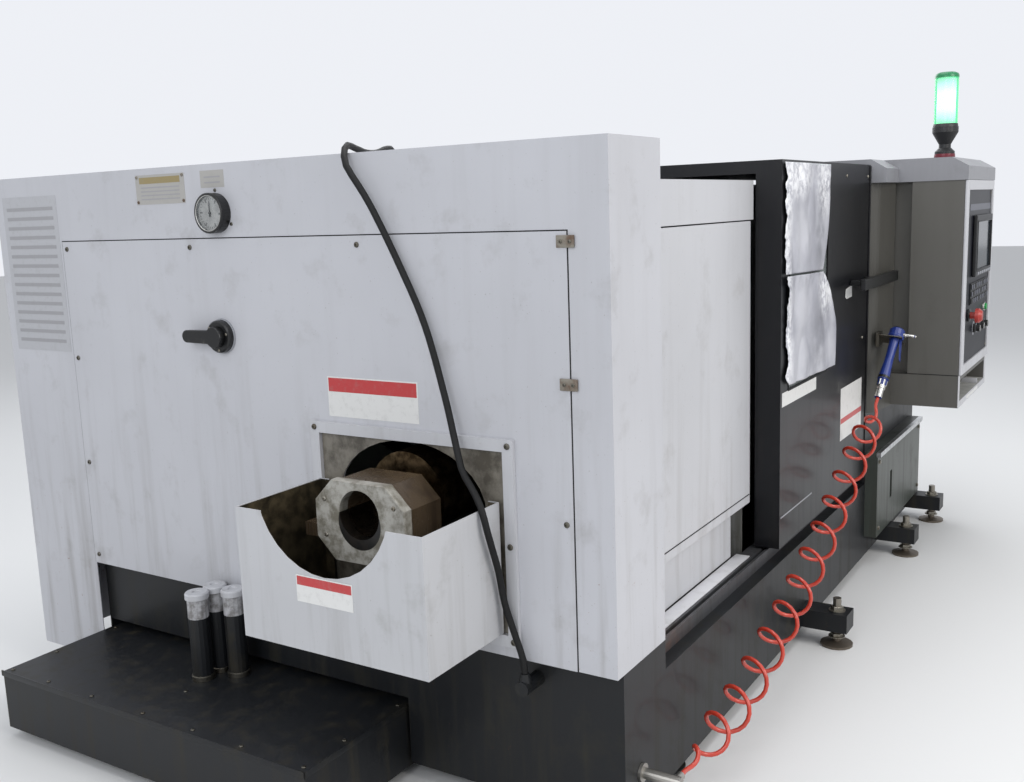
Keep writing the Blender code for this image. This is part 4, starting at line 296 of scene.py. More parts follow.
def blend(tree, share, first, second):
    """Mixes two colours by a share."""
    return add(tree, "Mix", {0: share, 6: first, 7: second}, data_type="RGBA").outputs[2]


def overlay(tree, socket, share, value):
    """Lays a colour or a number over what a shader's input takes already, by a share."""
    now = socket.links[0].from_socket if socket.links else socket.default_value
    if socket.type == "RGBA":
        mixed = blend(tree, share, now, value)
    else:
        mixed = add(tree, "Mix", {0: share, 2: now, 3: value}, data_type="FLOAT").outputs[0]
    tree.links.new(mixed, socket)


def figure(tree, operation, first, second=0.0):
    return add(tree, "Math", {0: first, 1: second}, operation=operation).outputs[0]


def vector(tree, operation, first, second=(0, 0, 0)):
    return add(tree, "VectorMath", {0: first, 1: second}, operation=operation).outputs[0]


def length(tree, first):
    return add(tree, "VectorMath", {0: first}, operation="LENGTH").outputs["Value"]


def bump(tree, shader, height, strength, distance_mm):
    made = add(tree, "Bump", {"Height": height, "Strength": strength, "Distance": distance_mm / 1000})
    tree.links.new(made.outputs["Normal"], shader.inputs["Normal"])


def inside_box(tree, place, low, high):
    """1 inside a box given along the machine's own axes, and 0 outside it."""
    low = at(*low)
    high = at(*high)
    middle = (low + high) / 2
    half = (high - low) / 2
    size = vector(tree, "ABSOLUTE", vector(tree, "SUBTRACT", place, middle))
    x, y, z = add(tree, "SeparateXYZ", {0: vector(tree, "SUBTRACT", size, half)}).outputs
    most = figure(tree, "MAXIMUM", figure(tree, "MAXIMUM", x, y), z)
    return figure(tree, "LESS_THAN", most, 0.0)


def soiled_enamel(name, code, soil, roughness, soil_share, low_edge, high_edge, streaks, rust=None):
    """Stove enamel on sheet steel: fine orange peel, faint mottling, and oily grime that runs down."""
    material, tree, shader, place = start(name, roughness)
    shader.inputs["Coat Weight"].default_value = 0.06
    cloud = span(tree, grain(tree, place, 420, 3), 0.35, 0.65)
    colour = blend(tree, cloud, dimmed(code, 0.94), paint(code))
    runs = span(tree, grain(tree, place, 45, 4, 0.6, (1.0, 1.0, 0.07)), 0.50, 0.72)
    height = add(tree, "SeparateXYZ", {0: place}).outputs[2]
    low = span(tree, height, high_edge, low_edge)
    run_share = figure(tree, "ADD", figure(tree, "MULTIPLY", low, soil_share), streaks)
    patches = span(tree, grain(tree, place, 130, 6, 0.65), 0.56, 0.76, 0, soil_share)
    dirt = figure(tree, "ADD", figure(tree, "MULTIPLY", runs, run_share), patches)
    dirt = figure(tree, "MINIMUM", dirt, 0.85)
    colour = blend(tree, dirt, colour, paint(soil))
    specks = span(tree, grain(tree, place, 6, 1), 0.74, 0.80, 0, 0.35)
    colour = blend(tree, specks, colour, paint(soil))
    if rust:
        spots = span(tree, grain(tree, place, 16, 5, 0.7), 0.66, 0.72, 0, 0.8)
        colour = blend(tree, figure(tree, "MULTIPLY", spots, low), colour, paint(rust))
    colour_by(tree, shader, colour)
    sheen = figure(tree, "ADD", figure(tree, "MULTIPLY", dirt, 0.22), roughness)
    tree.links.new(sheen, shader.inputs["Roughness"])
    bump(tree, shader, grain(tree, place, 5.5, 1), 0.10, 0.5)
    return material, tree, shader, place


def inside_bore(tree, place, y, z, radius):
    """1 within a radius of a line along the machine's length, and 0 outside it."""
    flat = vector(tree, "MULTIPLY", vector(tree, "SUBTRACT", place, at(0, y, z)), (0, 1, 1))
    return figure(tree, "LESS_THAN", length(tree, flat), radius)


def near(tree, place, middle, reach):
    """1 at a point, given along the machine's own axes, fading to 0 at the reach on each axis."""
    scaled = vector(tree, "DIVIDE", vector(tree, "SUBTRACT", place, at(*middle)), reach)
    return span(tree, length(tree, scaled), 0.35, 1.0, 1.0, 0.0)


def mottled(tree, place, first, second, size_mm):
    """A colour that wanders between two tones in patches about size_mm across."""
    patches = span(tree, grain(tree, place, size_mm, 6, 0.65), 0.40, 0.60)
    return blend(tree, patches, paint(first), paint(second))


def zoned(made, low, high, tones, roughness, metallic=None):
    """Gives one boxed zone of a fused solid its own plain or mottled colour, gloss and metal."""
    material, tree, shader, place = made
    zone = inside_box(tree, place, low, high)
    colour = paint(tones) if isinstance(tones, str) else mottled(tree, place, *tones)
    overlay(tree, shader.inputs["Base Color"], zone, colour)
    overlay(tree, shader.inputs["Roughness"], zone, roughness)
    if metallic is not None:
        overlay(tree, shader.inputs["Metallic"], zone, metallic)
    return made


def cast_enamel(name, code):
    """Thick enamel over sand-cast iron: a coarse skin with oil stains."""
    material, tree, shader, place = start(name, 0.45)
    cloud = span(tree, grain(tree, place, 220, 5, 0.6), 0.38, 0.62)
    colour = blend(tree, cloud, dimmed(code, 0.78), paint(code))
    stain = span(tree, grain(tree, place, 70, 6, 0.7), 0.58, 0.74, 0, 0.5)
    colour_by(tree, shader, blend(tree, stain, colour, paint("#3A3626")))
    bump(tree, shader, grain(tree, place, 9, 4, 0.6), 0.35, 1.2)
    return material


def ground_steel(name, code, roughness, lines_mm=1.2, along=(1.0, 60.0, 60.0), tarnish=0.25):
    """Steel with tool or grinding marks along one direction and a thin brown film of oil."""
    material, tree, shader, place = start(name, roughness, 1.0)
    marks = grain(tree, place, lines_mm * 60, 2, 0.5, along)
    oil = span(tree, grain(tree, place, 60, 5, 0.65), 0.50, 0.72, 0, tarnish)
    colour = blend(tree, span(tree, marks, 0.3, 0.7), dimmed(code, 0.86), paint(code))
    colour_by(tree, shader, blend(tree, oil, colour, paint("#5A4A34")))
    gloss = span(tree, marks, 0.2, 0.8, roughness * 0.75, roughness * 1.35)
    tree.links.new(gloss, shader.inputs["Roughness"])
    bump(tree, shader, marks, 0.12, 0.2)
    return material, tree, shader, place


def moulded(name, code, roughness=0.30, grain_mm=1.2, depth=0.05, dusty=0.16, **sockets):
    """Moulded plastic with the fine leathery grain of a spark-eroded tool."""
    material, tree, shader, place = start(name, roughness, 0.0, **sockets)
    cloud = span(tree, grain(tree, place, 60, 3), 0.35, 0.65)
    tone = blend(tree, cloud, dimmed(code, 0.88), paint(code))
    dust = span(tree, grain(tree, place, 25, 5, 0.7), 0.60, 0.78, 0, dusty)
    colour_by(tree, shader, blend(tree, dust, tone, paint("#8E8A80")))
    bump(tree, shader, grain(tree, place, grain_mm, 2), depth, 0.2)
    return material


def printed_foil(name, code, gloss=0.5):
    """Printed polyester label: smooth, a little scuffed and greyed."""
    material, tree, shader, place = start(name, 0.35, Specular_IOR_Level=gloss)
    scuff = span(tree, grain(tree, place, 18, 5, 0.7), 0.52, 0.75, 0, 0.45 * gloss + 0.04)
    colour_by(tree, shader, blend(tree, scuff, paint(code), paint("#8B8A86")))
    bump(tree, shader, grain(tree, place, 30, 2), 0.06, 0.4)
    return material


def light_sheet(name):
    return soiled_enamel(name, "#BEBFC3", "#6E675B", 0.40, 0.22, 0.4, 1.2, 0.06)


def dark_enamel(*looks):
    """Dark stove enamel, dulled by a film of dust so that it mirrors little."""
    made = soiled_enamel(*looks)
    made[2].inputs["Specular IOR Level"].default_value = 0.3
    return made


def collector_enamel():
    """The collector's body is brown with oil, its front plate stays light, and its bore is painted near black
    as shade.
    """
    made = soiled_enamel("collector_oily_enamel", "#4C4032", "#241A12", 0.26, 0.7, 0.6, 1.0, 0.4)
    zoned(made, (-0.25, 0.40, 0.65), (-0.1695, 0.76, 0.95), ("#6E6A5F", "#A3A19A", 38), 0.40)
    material, tree, shader, place = made
    # Painted shade: inside the bore the colour is near black, for the shade in the hole.
    bore = inside_bore(tree, place, SPINDLE_Y, COLLECTOR_Z, 0.066)
    overlay(tree, shader.inputs["Base Color"], bore, mottled(tree, place, "#070605", "#1A1510", 30))
    return material


def base_enamel():
    """Black enamel on the cast base, oily and scuffed; its hose coupler and its feet are bare steel."""
    made = dark_enamel("oily_black_enamel", "#15171A", "#2B2920", 0.44, 0.55, 0.0, 0.5, 0.25, "#4E3220")
    zoned(made, (0.05, -0.20, 0.10), (0.16, -0.0005, 0.20), "#A9A6A0", 0.35, 1.0)
    for x in FEET:
        zoned(made, (x - 0.06, -0.19, -0.01), (x + 0.06, -0.02, 0.0595), "#6E665C", 0.5, 0.8)
        zoned(made, (x - 0.02, -0.19, 0.1255), (x + 0.02, -0.02, 0.20), "#8C877E", 0.4, 1.0)
    return made[0]


light_enamel = light_sheet("light_grey_enamel")[0]
# The left end cover has more runs of grime than the other sheets, and rust low down.
cover_paint = soiled_enamel("end_cover_enamel", "#BCBDC2", "#6A6358", 0.40, 0.26, 0.4, 1.1, 0.05, "#7A4A28")[0]
# The black cable gland stands on the roof.
roof_paint = zoned(light_sheet("roof_enamel"), (0.37, 0.85, 1.6005), (0.47, 0.95, 1.70),
                   ("#101010", "#1C1C1C", 8), 0.45)[0]
# The access panel is darker grey-brown inside the frame round the spindle opening.
panel_paint = zoned(soiled_enamel("access_panel_enamel", "#BCBDC2", "#6A6358", 0.40, 0.24, 0.4, 1.2, 0.05),
                    (-0.02, 0.292, 0.50), (0.0, 0.875, 0.965), ("#4D483F", "#7B766C", 60), 0.42)[0]
# The chip guard is light outside and has a dark oily film inside.
guard_paint = zoned(soiled_enamel("chip_guard_enamel", "#B9BABD", "#5E5646", 0.40, 0.28, 0.3, 0.9, 0.06),
                    (-0.3235, 0.3065, 0.5065), (0.02, 0.8765, 0.838), ("#26221A", "#4E4636", 50), 0.30)[0]
collector_paint = collector_enamel()
# The spindle is ground; the rotary cylinder at its rear end is covered in brown oil.
spindle_metal = zoned(ground_steel("spindle_steel", "#C6C5C1", 0.26), (-0.06, 0.45, 0.68), (0.31, 0.73, 0.96),
                      ("#3B2F20", "#74624A", 30), 0.32)[0]
base_paint = base_enamel()
# The tank's enamel lies under dried coolant; the tops of its pumps are grey metal paint.
tank_paint = zoned(dark_enamel("tank_black_enamel", "#17191C", "#332F24", 0.46, 0.6, -0.2, 0.3, 0.35),
                   (-0.16, 1.18, 0.400), (0.0, 1.35, 0.48), ("#7E7C7B", "#B5B5B8", 25), 0.4)[0]
# The ledge of the cover on the base front is bare bright steel.
front_cover_paint = zoned(soiled_enamel("grey_green_enamel", "#3B403B", "#2A2A20", 0.42, 0.45, 0.1, 0.5, 0.2),
                          (2.2, -0.10, 0.4751), (3.2, -0.045, 0.51), ("#A9ABAC", "#D2D3D4", 25), 0.35, 1.0)[0]
# The cabinet's light grey enamel is painted darker, grey-brown, as painted shade of its side face; the floor of
# its lower shelf is light.
cabinet_shaded_paint = zoned(dark_enamel("cabinet_enamel_painted_shade", "#5B5A56", "#3A3630", 0.46, 0.18, 0.4, 1.1, 0.08),
                      (2.52, -0.32, 0.68), (3.17, -0.05, 0.6925), ("#A2A39F", "#B8B8B5", 40), 0.4)[0]
column_enamel = dark_enamel("column_grey_enamel", "#484743", "#302D28", 0.46, 0.18, 0.4, 1.1, 0.08)[0]
cap_enamel = soiled_enamel("cap_grey_enamel", "#84858A", "#4A4740", 0.42, 0.15, 1.0, 1.5, 0.06)[0]
door_enamel = dark_enamel("door_black_enamel", "#0C0D11", "#2C2925", 0.34, 0.20, 0.4, 1.1, 0.10)[0]
inner_enamel = soiled_enamel("lining_enamel", "#9A9B98", "#4A4436", 0.45, 0.55, 0.4, 1.4, 0.30)[0]
# The sill strip's light paint is a painted reflection: it stands for the bright sheen of bare metal, with some
# real soiling over it.
strip_painted_reflection = soiled_enamel("sill_strip_painted_reflection", "#DCDDE1", "#8B887F", 0.30, 0.2, 0.2, 0.6, 0.1)[0]
cast_paint = cast_enamel("casting_enamel", "#8E938E")
bright_steel = ground_steel("ground_steel", "#C6C5C1", 0.26)[0]
dark_steel = ground_steel("oiled_steel", "#6B6860", 0.38, tarnish=0.5)[0]
screw_steel = ground_steel("zinc_plated_screws", "#9A968C", 0.4, 0.5, (20.0, 20.0, 20.0), 0.6)[0]
black_plastic = moulded("black_nylon", "#18191B", 0.45, 1.6, 0.15)
soft_black = moulded("black_phenolic", "#0F1011", 0.32, 1.0, 0.08)
rubber_black = moulded("black_rubber", "#0C0C0D", 0.62, 2.4, 0.2, 0.06, Specular_IOR_Level=0.3)
red_plastic = moulded("red_polycarbonate", "#A8332B", 0.34)
crimson_plastic = moulded("crimson_polycarbonate", "#6E1E2C", 0.34)
green_plastic = moulded("green_polycarbonate", "#2E9A50")
blue_plastic = moulded("blue_glass_filled_nylon", "#1F347E", 0.34, 1.4, 0.12)
cap_lens = moulded("dark_green_polycarbonate", "#1F7A4C", 0.3, 1.6, 0.15)
hose_plastic = moulded("polyurethane_hose", "#C03D2B", 0.22, 3.0, 0.04, Coat_Weight=0.3, Subsurface_Weight=0.08)
white_foil = printed_foil("white_label_foil", "#D6D6D4")
red_foil = printed_foil("red_label_foil", "#B5383A")
yellow_foil = printed_foil("yellow_label_foil", "#8F8159")
key_foil = printed_foil("key_cap_foil", "#50525C", 0.2)
dull_foil = printed_foil("dull_label_foil", "#A5A39F")
faint_foil = printed_foil("faint_print_foil", "#97979A")
chart_foil = printed_foil("chart_label_foil", "#AEAFB3")
grey_foil = printed_foil("grey_label_foil", "#8E9096")
black_foil = printed_foil("black_panel_foil", "#0F1119", 0.10)


def rusty_plate():
    """Zinc-plated bracket that has rusted through in patches."""
    material, tree, shader, place = start("rusted_zinc", 0.6, 0.6)
    patch = span(tree, grain(tree, place, 40, 5, 0.6), 0.42, 0.62)
    colour_by(tree, shader, blend(tree, patch, paint("#8A857B"), paint("#5A4636")))
    tree.links.new(span(tree, patch, 0, 1, 0.6, 0.0), shader.inputs["Metallic"])
    bump(tree, shader, patch, 0.3, 0.4)
    return material


def sill_coat():
    """Dark grey sill, rubbed and oily, rusted at its left end."""
    sill = soiled_enamel("worn_grey_sill", "#3E3F42", "#2A2820", 0.42, 0.5, 0.2, 0.6, 0.3)
    material, tree, shader, place = sill
    patches = span(tree, grain(tree, place, 60, 6, 0.65), 0.35, 0.62)
    left_end = near(tree, place, (0.24, 0.02, 0.38), (0.34, 0.09, 0.12))
    rust = figure(tree, "MULTIPLY", left_end, patches)
    overlay(tree, shader.inputs["Base Color"], rust, paint("#5A4238"))
    return material


def clear_pane(name, code, roughness, least, most):
    """Laminated pane: clear, with a thin haze of dried coolant."""
    material, tree, shader, place = start(name, roughness, 0.0, Alpha=least)
    haze = span(tree, grain(tree, place, 35, 6, 0.7), 0.45, 0.75, least, most)
    tree.links.new(haze, shader.inputs["Alpha"])
    colour_by(tree, shader, blend(tree, haze, paint(code), paint("#8D948F")))
    return material


def crumpled_film():
    """Loose polyethylene film: milky, with painted highlights where it is crumpled and painted shade at the
    middle of each sheet's right side.
    """
    material, tree, shader, place = start("milky_polyethylene_film", 0.30)
    cloud = grain(tree, place, 150, 3, 0.5)
    colour = blend(tree, span(tree, cloud, 0.38, 0.62), paint("#A6A7B0"), paint("#BFC0C7"))
    # Painted shade: grey patches at the middle of each sheet's right side, where the dark window behind shows
    # through.
    for middle, reach in (((1.58, 0, 1.42), (0.10, 1, 0.20)), ((1.56, 0, 1.05), (0.12, 1, 0.19))):
        patches = span(tree, grain(tree, place, 60, 4, 0.6), 0.35, 0.62, 0.2, 0.8)
        painted_shade = figure(tree, "MULTIPLY", near(tree, place, middle, reach), patches)
        colour = blend(tree, painted_shade, colour, paint("#83848C"))
    # Painted highlights: white patches where the film is crumpled, near the sheets' upper right corners, their
    # tops and their torn left edges.
    crumple = span(tree, grain(tree, place, 22, 5, 0.65), 0.40, 0.58)
    for middle, reach in (
        ((1.62, 0, 1.59), (0.12, 1, 0.13)), ((1.66, 0, 1.22), (0.13, 1, 0.11)),
        ((1.30, 0, 1.61), (0.22, 1, 0.09)), ((1.20, 0, 1.45), (0.07, 1, 0.26)),
        ((1.22, 0, 1.10), (0.06, 1, 0.26)),
    ):
        white = figure(tree, "MULTIPLY", near(tree, place, middle, reach), crumple)
        colour = blend(tree, white, colour, paint("#F0F1F4"))
    colour_by(tree, shader, colour)
    tree.links.new(span(tree, cloud, 0.3, 0.6, 0.93, 0.99), shader.inputs["Alpha"])
    bump(tree, shader, grain(tree, place, 34, 3, 0.5), 0.25, 1.6)
    return material


def lit_lens():
    """Green lens over a lit core: the core shows white through it, and its edges stay green."""
    material, tree, shader, place = start("lit_green_lens", 0.15, 0.0, Alpha=0.62)
    ribs = add(tree, "TexWave", {"Vector": place, "Scale": 50.0}, bands_direction="Z").outputs["Fac"]
    colour = blend(tree, ribs, paint("#15A862"), paint("#2FD08A"))
    colour_by(tree, shader, colour)
    tree.links.new(colour, shader.inputs["Emission Color"])
    shader.inputs["Emission Strength"].default_value = 0.45
    bump(tree, shader, ribs, 0.3, 0.8)
    return material


def lamp_core():
    """The lamp's frosted inner tube, white hot in the middle of its height."""
    material, tree, shader, place = start("lamp_core", 0.5)
    low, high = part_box("signal_lamp")
    height = add(tree, "SeparateXYZ", {0: place}).outputs[2]
    off = figure(tree, "ABSOLUTE", figure(tree, "SUBTRACT", height, (low.z + high.z) / 2))
    glow = span(tree, off, 0.3 * (high.z - low.z) / 2, 0.95 * (high.z - low.z) / 2, 3.2, 0.5)
    shader.inputs["Base Color"].default_value = paint("#E8FFF4")
    shader.inputs["Emission Color"].default_value = paint("#D8FFEC")
    tree.links.new(glow, shader.inputs["Emission Strength"])
    return material


def dark_display():
    """Switched-off display behind a dark filter."""
    material, tree, shader, place = start("dark_display_glass", 0.12, Specular_IOR_Level=0.25)
    faint = span(tree, grain(tree, place, 160, 2), 0.4, 0.6)
    colour_by(tree, shader, blend(tree, faint, paint("#1A2026"), paint("#2A333A")))
    return material


def dial_card():
    """Greyed dial with a ring of division marks, worked out from the angle and radius."""
    material, tree, shader, place = start("dial_card", 0.35)
    moved = vector(tree, "SUBTRACT", place, at(0, GAUGE_Y, GAUGE_Z))
    _, y, z = add(tree, "SeparateXYZ", {0: moved}).outputs
    turn = figure(tree, "DIVIDE", figure(tree, "ARCTAN2", z, y), math.tau)
    squares = figure(tree, "ADD", figure(tree, "MULTIPLY", y, y), figure(tree, "MULTIPLY", z, z))
    radius = figure(tree, "SQRT", squares)
    inside = figure(tree, "LESS_THAN", radius, 0.042)
    ink = 0.0
    for count, width, inner in ((30, 0.28, 0.037), (6, 0.14, 0.031)):
        share = figure(tree, "FRACT", figure(tree, "MULTIPLY", turn, count))
        mark = figure(tree, "MULTIPLY", figure(tree, "LESS_THAN", share, width), inside)
        mark = figure(tree, "MULTIPLY", mark, figure(tree, "GREATER_THAN", radius, inner))
        ink = figure(tree, "MAXIMUM", mark, ink)
    card = mottled(tree, place, "#8B8B8A", "#9D9D9B", 25)
    colour_by(tree, shader, blend(tree, ink, card, paint("#4A4A4A")))
    return material


rusted = rusty_plate()
window_glass = clear_pane("laminated_pane", "#C8D2D4", 0.04, 0.22, 0.50)
gauge_glass = clear_pane("gauge_pane", "#DDE3E4", 0.03, 0.05, 0.18)
film = crumpled_film()
lens = lit_lens()
core = lamp_core()
sill_paint = sill_coat()
display = dark_display()
dial = dial_card()


# Cords

GUN = Vector((2.325, -0.100, 0.965))
GUN_TURN = Matrix.Rotation(math.radians(35.5), 3, "Y") @ Matrix.Rotation(math.radians(5.7), 3, "X")
GUN_DOWN = GUN_TURN @ Vector((0, 0, -1))
HOSE_POINTS = (
    (2.040, -0.085, 0.672), (1.950, -0.092, 0.662), (1.888, -0.095, 0.655), (1.691, -0.095, 0.571),
    (1.562, -0.095, 0.511), (1.439, -0.095, 0.457), (1.314, -0.095, 0.401), (1.181, -0.095, 0.352),
    (1.053, -0.095, 0.301), (0.899, -0.095, 0.262), (0.771, -0.095, 0.225), (0.607, -0.093, 0.182),
    (0.420, -0.092, 0.155), (0.260, -0.092, 0.150),
)


def eased(route, rounds):
    """Rounds off a route's corners by averaging each point with its neighbours again and again."""
    for _ in range(rounds):
        inner = [a / 4 + b / 2 + c / 4 for a, b, c in zip(route, route[1:], route[2:])]
        route = [route[0]] + inner + [route[-1]]
    return route


def wound(middle, coil, pitch, lead):
    """A coil of evenly pitched turns round a smooth middle line; it opens and closes over a lead length."""
    total = length_of(middle)
    turns = round(total / pitch)
    walked = [0.0]
    for a, b in zip(middle, middle[1:]):
        walked.append(walked[-1] + (b - a).length)
    route = []
    index = 0
    for k in range(turns * 18 + 1):
        along = total * k / (turns * 18)
        while index < len(middle) - 2 and walked[index + 1] < along:
            index += 1
        share = (along - walked[index]) / max(walked[index + 1] - walked[index], 1e-9)
        place = middle[index].lerp(middle[index + 1], min(share, 1))
        ahead = (middle[min(index + 3, len(middle) - 1)] - middle[max(index - 2, 0)]).normalized()
        side = (Vector((0, 1, 0)) - ahead * ahead.y).normalized()
        up = ahead.cross(side)
        grow = min(1.0, min(along, total - along) / lead)
        radius = coil * grow * grow * (3 - 2 * grow)
        angle = math.tau * k / 18
        route.append(place + side * math.cos(angle) * radius - up * math.sin(angle) * radius + SHIFT)
    return route


def air_hose():
    """Coiled polyurethane hose from the gun's fitting, stretched down along the machine to its coupler."""
    mouth = GUN + GUN_DOWN * 0.2653
    line = [mouth + GUN_DOWN * 0.056] + [Vector(p) for p in HOSE_POINTS]
    plug = Vector((0.150, -0.092, 0.150))
    middle = [mouth] + smooth_route(line, 0.01) + smooth_route([line[-1], plug], 0.01)[1:]
    route = wound(eased(smooth_route(middle, 0.006), 120), 0.0475, 0.140, 0.28)
    hose = tube("air_hose_coil", route, 0.00625, hose_plastic)
    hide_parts("air_hose")


CABLE_POINTS = (
    (0.420, 0.900, 1.6353), (0.420, 0.900, 1.650), (0.415, 0.898, 1.677), (0.401, 0.893, 1.6995),
    (0.380, 0.885, 1.7147), (0.355, 0.875, 1.720), (0.310, 0.858, 1.7155), (0.270, 0.843, 1.7075),
    (0.230, 0.828, 1.7015), (0.180, 0.809, 1.6993), (0.140, 0.794, 1.7005), (0.105, 0.781, 1.7045),
    (0.061, 0.763, 1.7084), (0.038, 0.754, 1.7125), (0.012, 0.743, 1.7073), (-0.0101, 0.731, 1.6926),
    (-0.0248, 0.718, 1.6705), (-0.030, 0.702, 1.645), (-0.027, 0.643, 1.559), (-0.022, 0.566, 1.412),
    (-0.026, 0.494, 1.266), (-0.032, 0.440, 1.097), (-0.045, 0.405, 0.985), (-0.065, 0.375, 0.925),
    (-0.086, 0.337, 0.893), (-0.098, 0.310, 0.866), (-0.103, 0.2935, 0.836), (-0.101, 0.287, 0.803),
    (-0.080, 0.286, 0.743), (-0.056, 0.286, 0.677), (-0.038, 0.285, 0.597), (-0.031, 0.265, 0.522),
    (-0.030, 0.248, 0.474), (-0.030, 0.238, 0.440), (-0.030, 0.238, 0.4203),
)


def power_cable():
    """Black rubber cable from the gland on the roof, over the end cover's edge and down to the base."""
    route = [p + SHIFT for p in smooth_route(CABLE_POINTS, 0.03)]
    cable = tube("rubber_cable", route, 0.0085, rubber_black)
    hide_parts("power_cable")


air_hose()
power_cable()


# Finishes of the carried-over solids

FINISHES = (
    (base_paint, "base_casting"),
    (cast_paint, "slant_bed headstock spindle_motor cross_slide tailstock"),
    (spindle_metal, "spindle"),
    (bright_steel, "chuck_body chuck_jaw_1 chuck_jaw_2 chuck_jaw_3 motor_pulley turret_disc tailstock_quill"),
    (dark_steel, "saddle gun_holder"),
    (rubber_black, "drive_belt"),
    (collector_paint, "coolant_collector"),
    (cover_paint, "end_cover"),
    (panel_paint, "access_panel"),
    (guard_paint, "chip_guard"),
    (light_enamel, "opening_frame front_upper_panel front_main_panel front_lower_panel right_end_cover"),
    (light_enamel, "rear_cover electrical_cabinet electrical_door control_bezel"),
    (roof_paint, "roof_cover"),
    (inner_enamel, "work_lining"),
    (sill_paint, "door_track"),
    (door_enamel, "door_frame"),
    (window_glass, "door_window"),
    (film, "window_film"),
    (column_enamel, "right_front_panel"),
    (cabinet_shaded_paint, "control_cabinet"),
    (cap_enamel, "cabinet_cap"),
    (black_foil, "control_face"),
    (black_plastic, "control_screen key_plate signal_stem"),
    (soft_black, "gauge_case gauge_pointer switch_rose switch_lever door_handle"),
    (soft_black, "override_knob_1 override_knob_2 override_knob_3"),
    (red_plastic, "emergency_stop"),
    (green_plastic, "start_button"),
    (lens, "signal_lamp"),
    (front_cover_paint, "base_front_cover"),
    (tank_paint, "coolant_tank"),
    (blue_plastic, "air_gun gun_trigger"),
)


def dress_solids():
    for material, names in FINISHES:
        for name in names.split():
            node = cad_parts[name]
            node.data.materials.clear()
            node.data.materials.append(material)


dress_solids()


# Left end: labels, screws, brackets, gauge, isolator

PANEL_FACE = -0.0023
PANEL_BACK = 1.911
PANEL_TOP = 1.485


def foil(name, low, high, material, lift=0.0006):
    """A thin label on the left end's face, given by its (y, z) corners."""
    face = PANEL_FACE if low[0] < PANEL_BACK and high[1] < PANEL_TOP else 0.0
    bars(name, [((face - lift, *low), (face - 0.00005, *high))], material, edge=0.0)


def end_labels():
    foil("red_band_label", (0.544, 1.011), (0.843, 1.118), white_foil)
    foil("red_band_stripe", (0.5475, 1.078), (0.8395, 1.1145), red_foil, 0.0009)
    foil("banded_label", (1.334, 1.587), (1.541, 1.671), dull_foil)
    foil("yellow_band", (1.352, 1.646), (1.524, 1.664), yellow_foil, 0.0009)
    foil("small_label", (1.175, 1.625), (1.268, 1.672), dull_foil)
    foil("chart_plate", (1.925, 1.137), (2.205, 1.630), chart_foil)
    front, back = -0.0009, -0.0005
    rows = [((front, 1.355, z), (back, 1.520, z + 0.0035)) for z in (1.600, 1.611, 1.622, 1.633)]
    rows += [((front, 1.190, z), (back, 1.253, z + 0.004)) for z in (1.637, 1.652)]
    rows += [((front, 1.945, 1.165 + 0.030 * i), (back, 2.185, 1.176 + 0.030 * i)) for i in range(15)]
    bars("label_rows", rows, faint_foil, edge=0.0)
    places = [(front, y, z) for y in (1.341, 1.534) for z in (1.594, 1.665)]
    pan_heads("label_screws", places, LEFT, 4.5, rusted)
    guard = -0.3253
    bars("guard_label", [((guard - 0.0006, 0.514, 0.630), (guard, 0.689, 0.697))], white_foil, edge=0.0)
    stripe = ((guard - 0.0009, 0.517, 0.672), (guard - 0.0002, 0.686, 0.694))
    bars("guard_label_stripe", [stripe], red_foil, edge=0.0)


def end_fasteners():
    places = [(PANEL_FACE, y, 1.462) for y in (1.890, 1.331, 0.715, 0.125)]
    places += [(PANEL_FACE, 1.890, z) for z in (1.12, 0.78, 0.47)]
    places += [(PANEL_FACE, y, 0.462) for y in (1.331, 0.985)] + [(PANEL_FACE, 0.125, 0.803)]
    pan_heads("panel_screws", places, LEFT, 7.5, dark_steel)
    places = [(-0.0146, y, z) for y in (0.277, 0.890) for z in (0.485, 0.730, 0.980)]
    pan_heads("frame_screws", places, LEFT, 8, dark_steel)
    places = [(-0.20, SPINDLE_Y + y, COLLECTOR_Z + z) for y in (-0.108, 0.108) for z in (-0.040, 0.052)]
    pan_heads("collector_screws", places, LEFT, 6, screw_steel)
    seams = (1.462, 1.137)
    face = PANEL_FACE - 0.004
    brackets = [((face, 0.086, z - 0.014), (PANEL_FACE, 0.132, z + 0.014)) for z in seams]
    bars("seam_brackets", brackets, rusted, edge=0.0012)
    pan_heads("bracket_screws", [(face, y, z) for z in seams for y in (0.097, 0.120)], LEFT, 4.5, dark_steel)


def panel_seam_shade():
    """Painted shade: a dark strip that stands for the shaded seam round the access panel."""
    wide = 0.003
    front, back = -0.0008, -0.00005
    y, z = 0.107, 0.4405
    top = PANEL_TOP + wide
    sides = [((front, y - wide, z), (back, y, top)), ((front, PANEL_BACK, z), (back, PANEL_BACK + wide, top))]
    bars("panel_seam_shade", sides + [((front, y, PANEL_TOP), (back, PANEL_BACK, top))], rubber_black, edge=0.0)


def gauge():
    centre = at(-0.0303, GAUGE_Y, GAUGE_Z)
    turned("dial_card_disc", [(48.5, 0.1), (48.5, 0.6), (0, 0.6)], at(-0.0223, GAUGE_Y, GAUGE_Z), LEFT, dial)
    window = [(48.8, 0), (48.8, 1.2), (0, 1.6)]
    turned("gauge_window", window, at(-0.0309, GAUGE_Y, GAUGE_Z), LEFT, gauge_glass)
    rim = [(49.2, 0), (49.2, 2.2), (51.5, 3), (55.2, 1.6), (55.6, -6), (55.2, -6)]
    turned("gauge_ring", rim, centre, LEFT, soft_black, ring=True)
    bevel = [(47, 1.6), (47.4, 2.2), (49.1, 2.8), (49.1, 1.6)]
    turned("gauge_bevel", bevel, centre, LEFT, bright_steel, ring=True)
    away = 0.0625
    places = [(-0.0003, GAUGE_Y + away * math.cos(angle), GAUGE_Z + away * math.sin(angle))
              for angle in (math.pi / 2, math.pi * 7 / 6, -math.pi / 6)]
    pan_heads("gauge_screws", places, LEFT, 5, dark_steel)


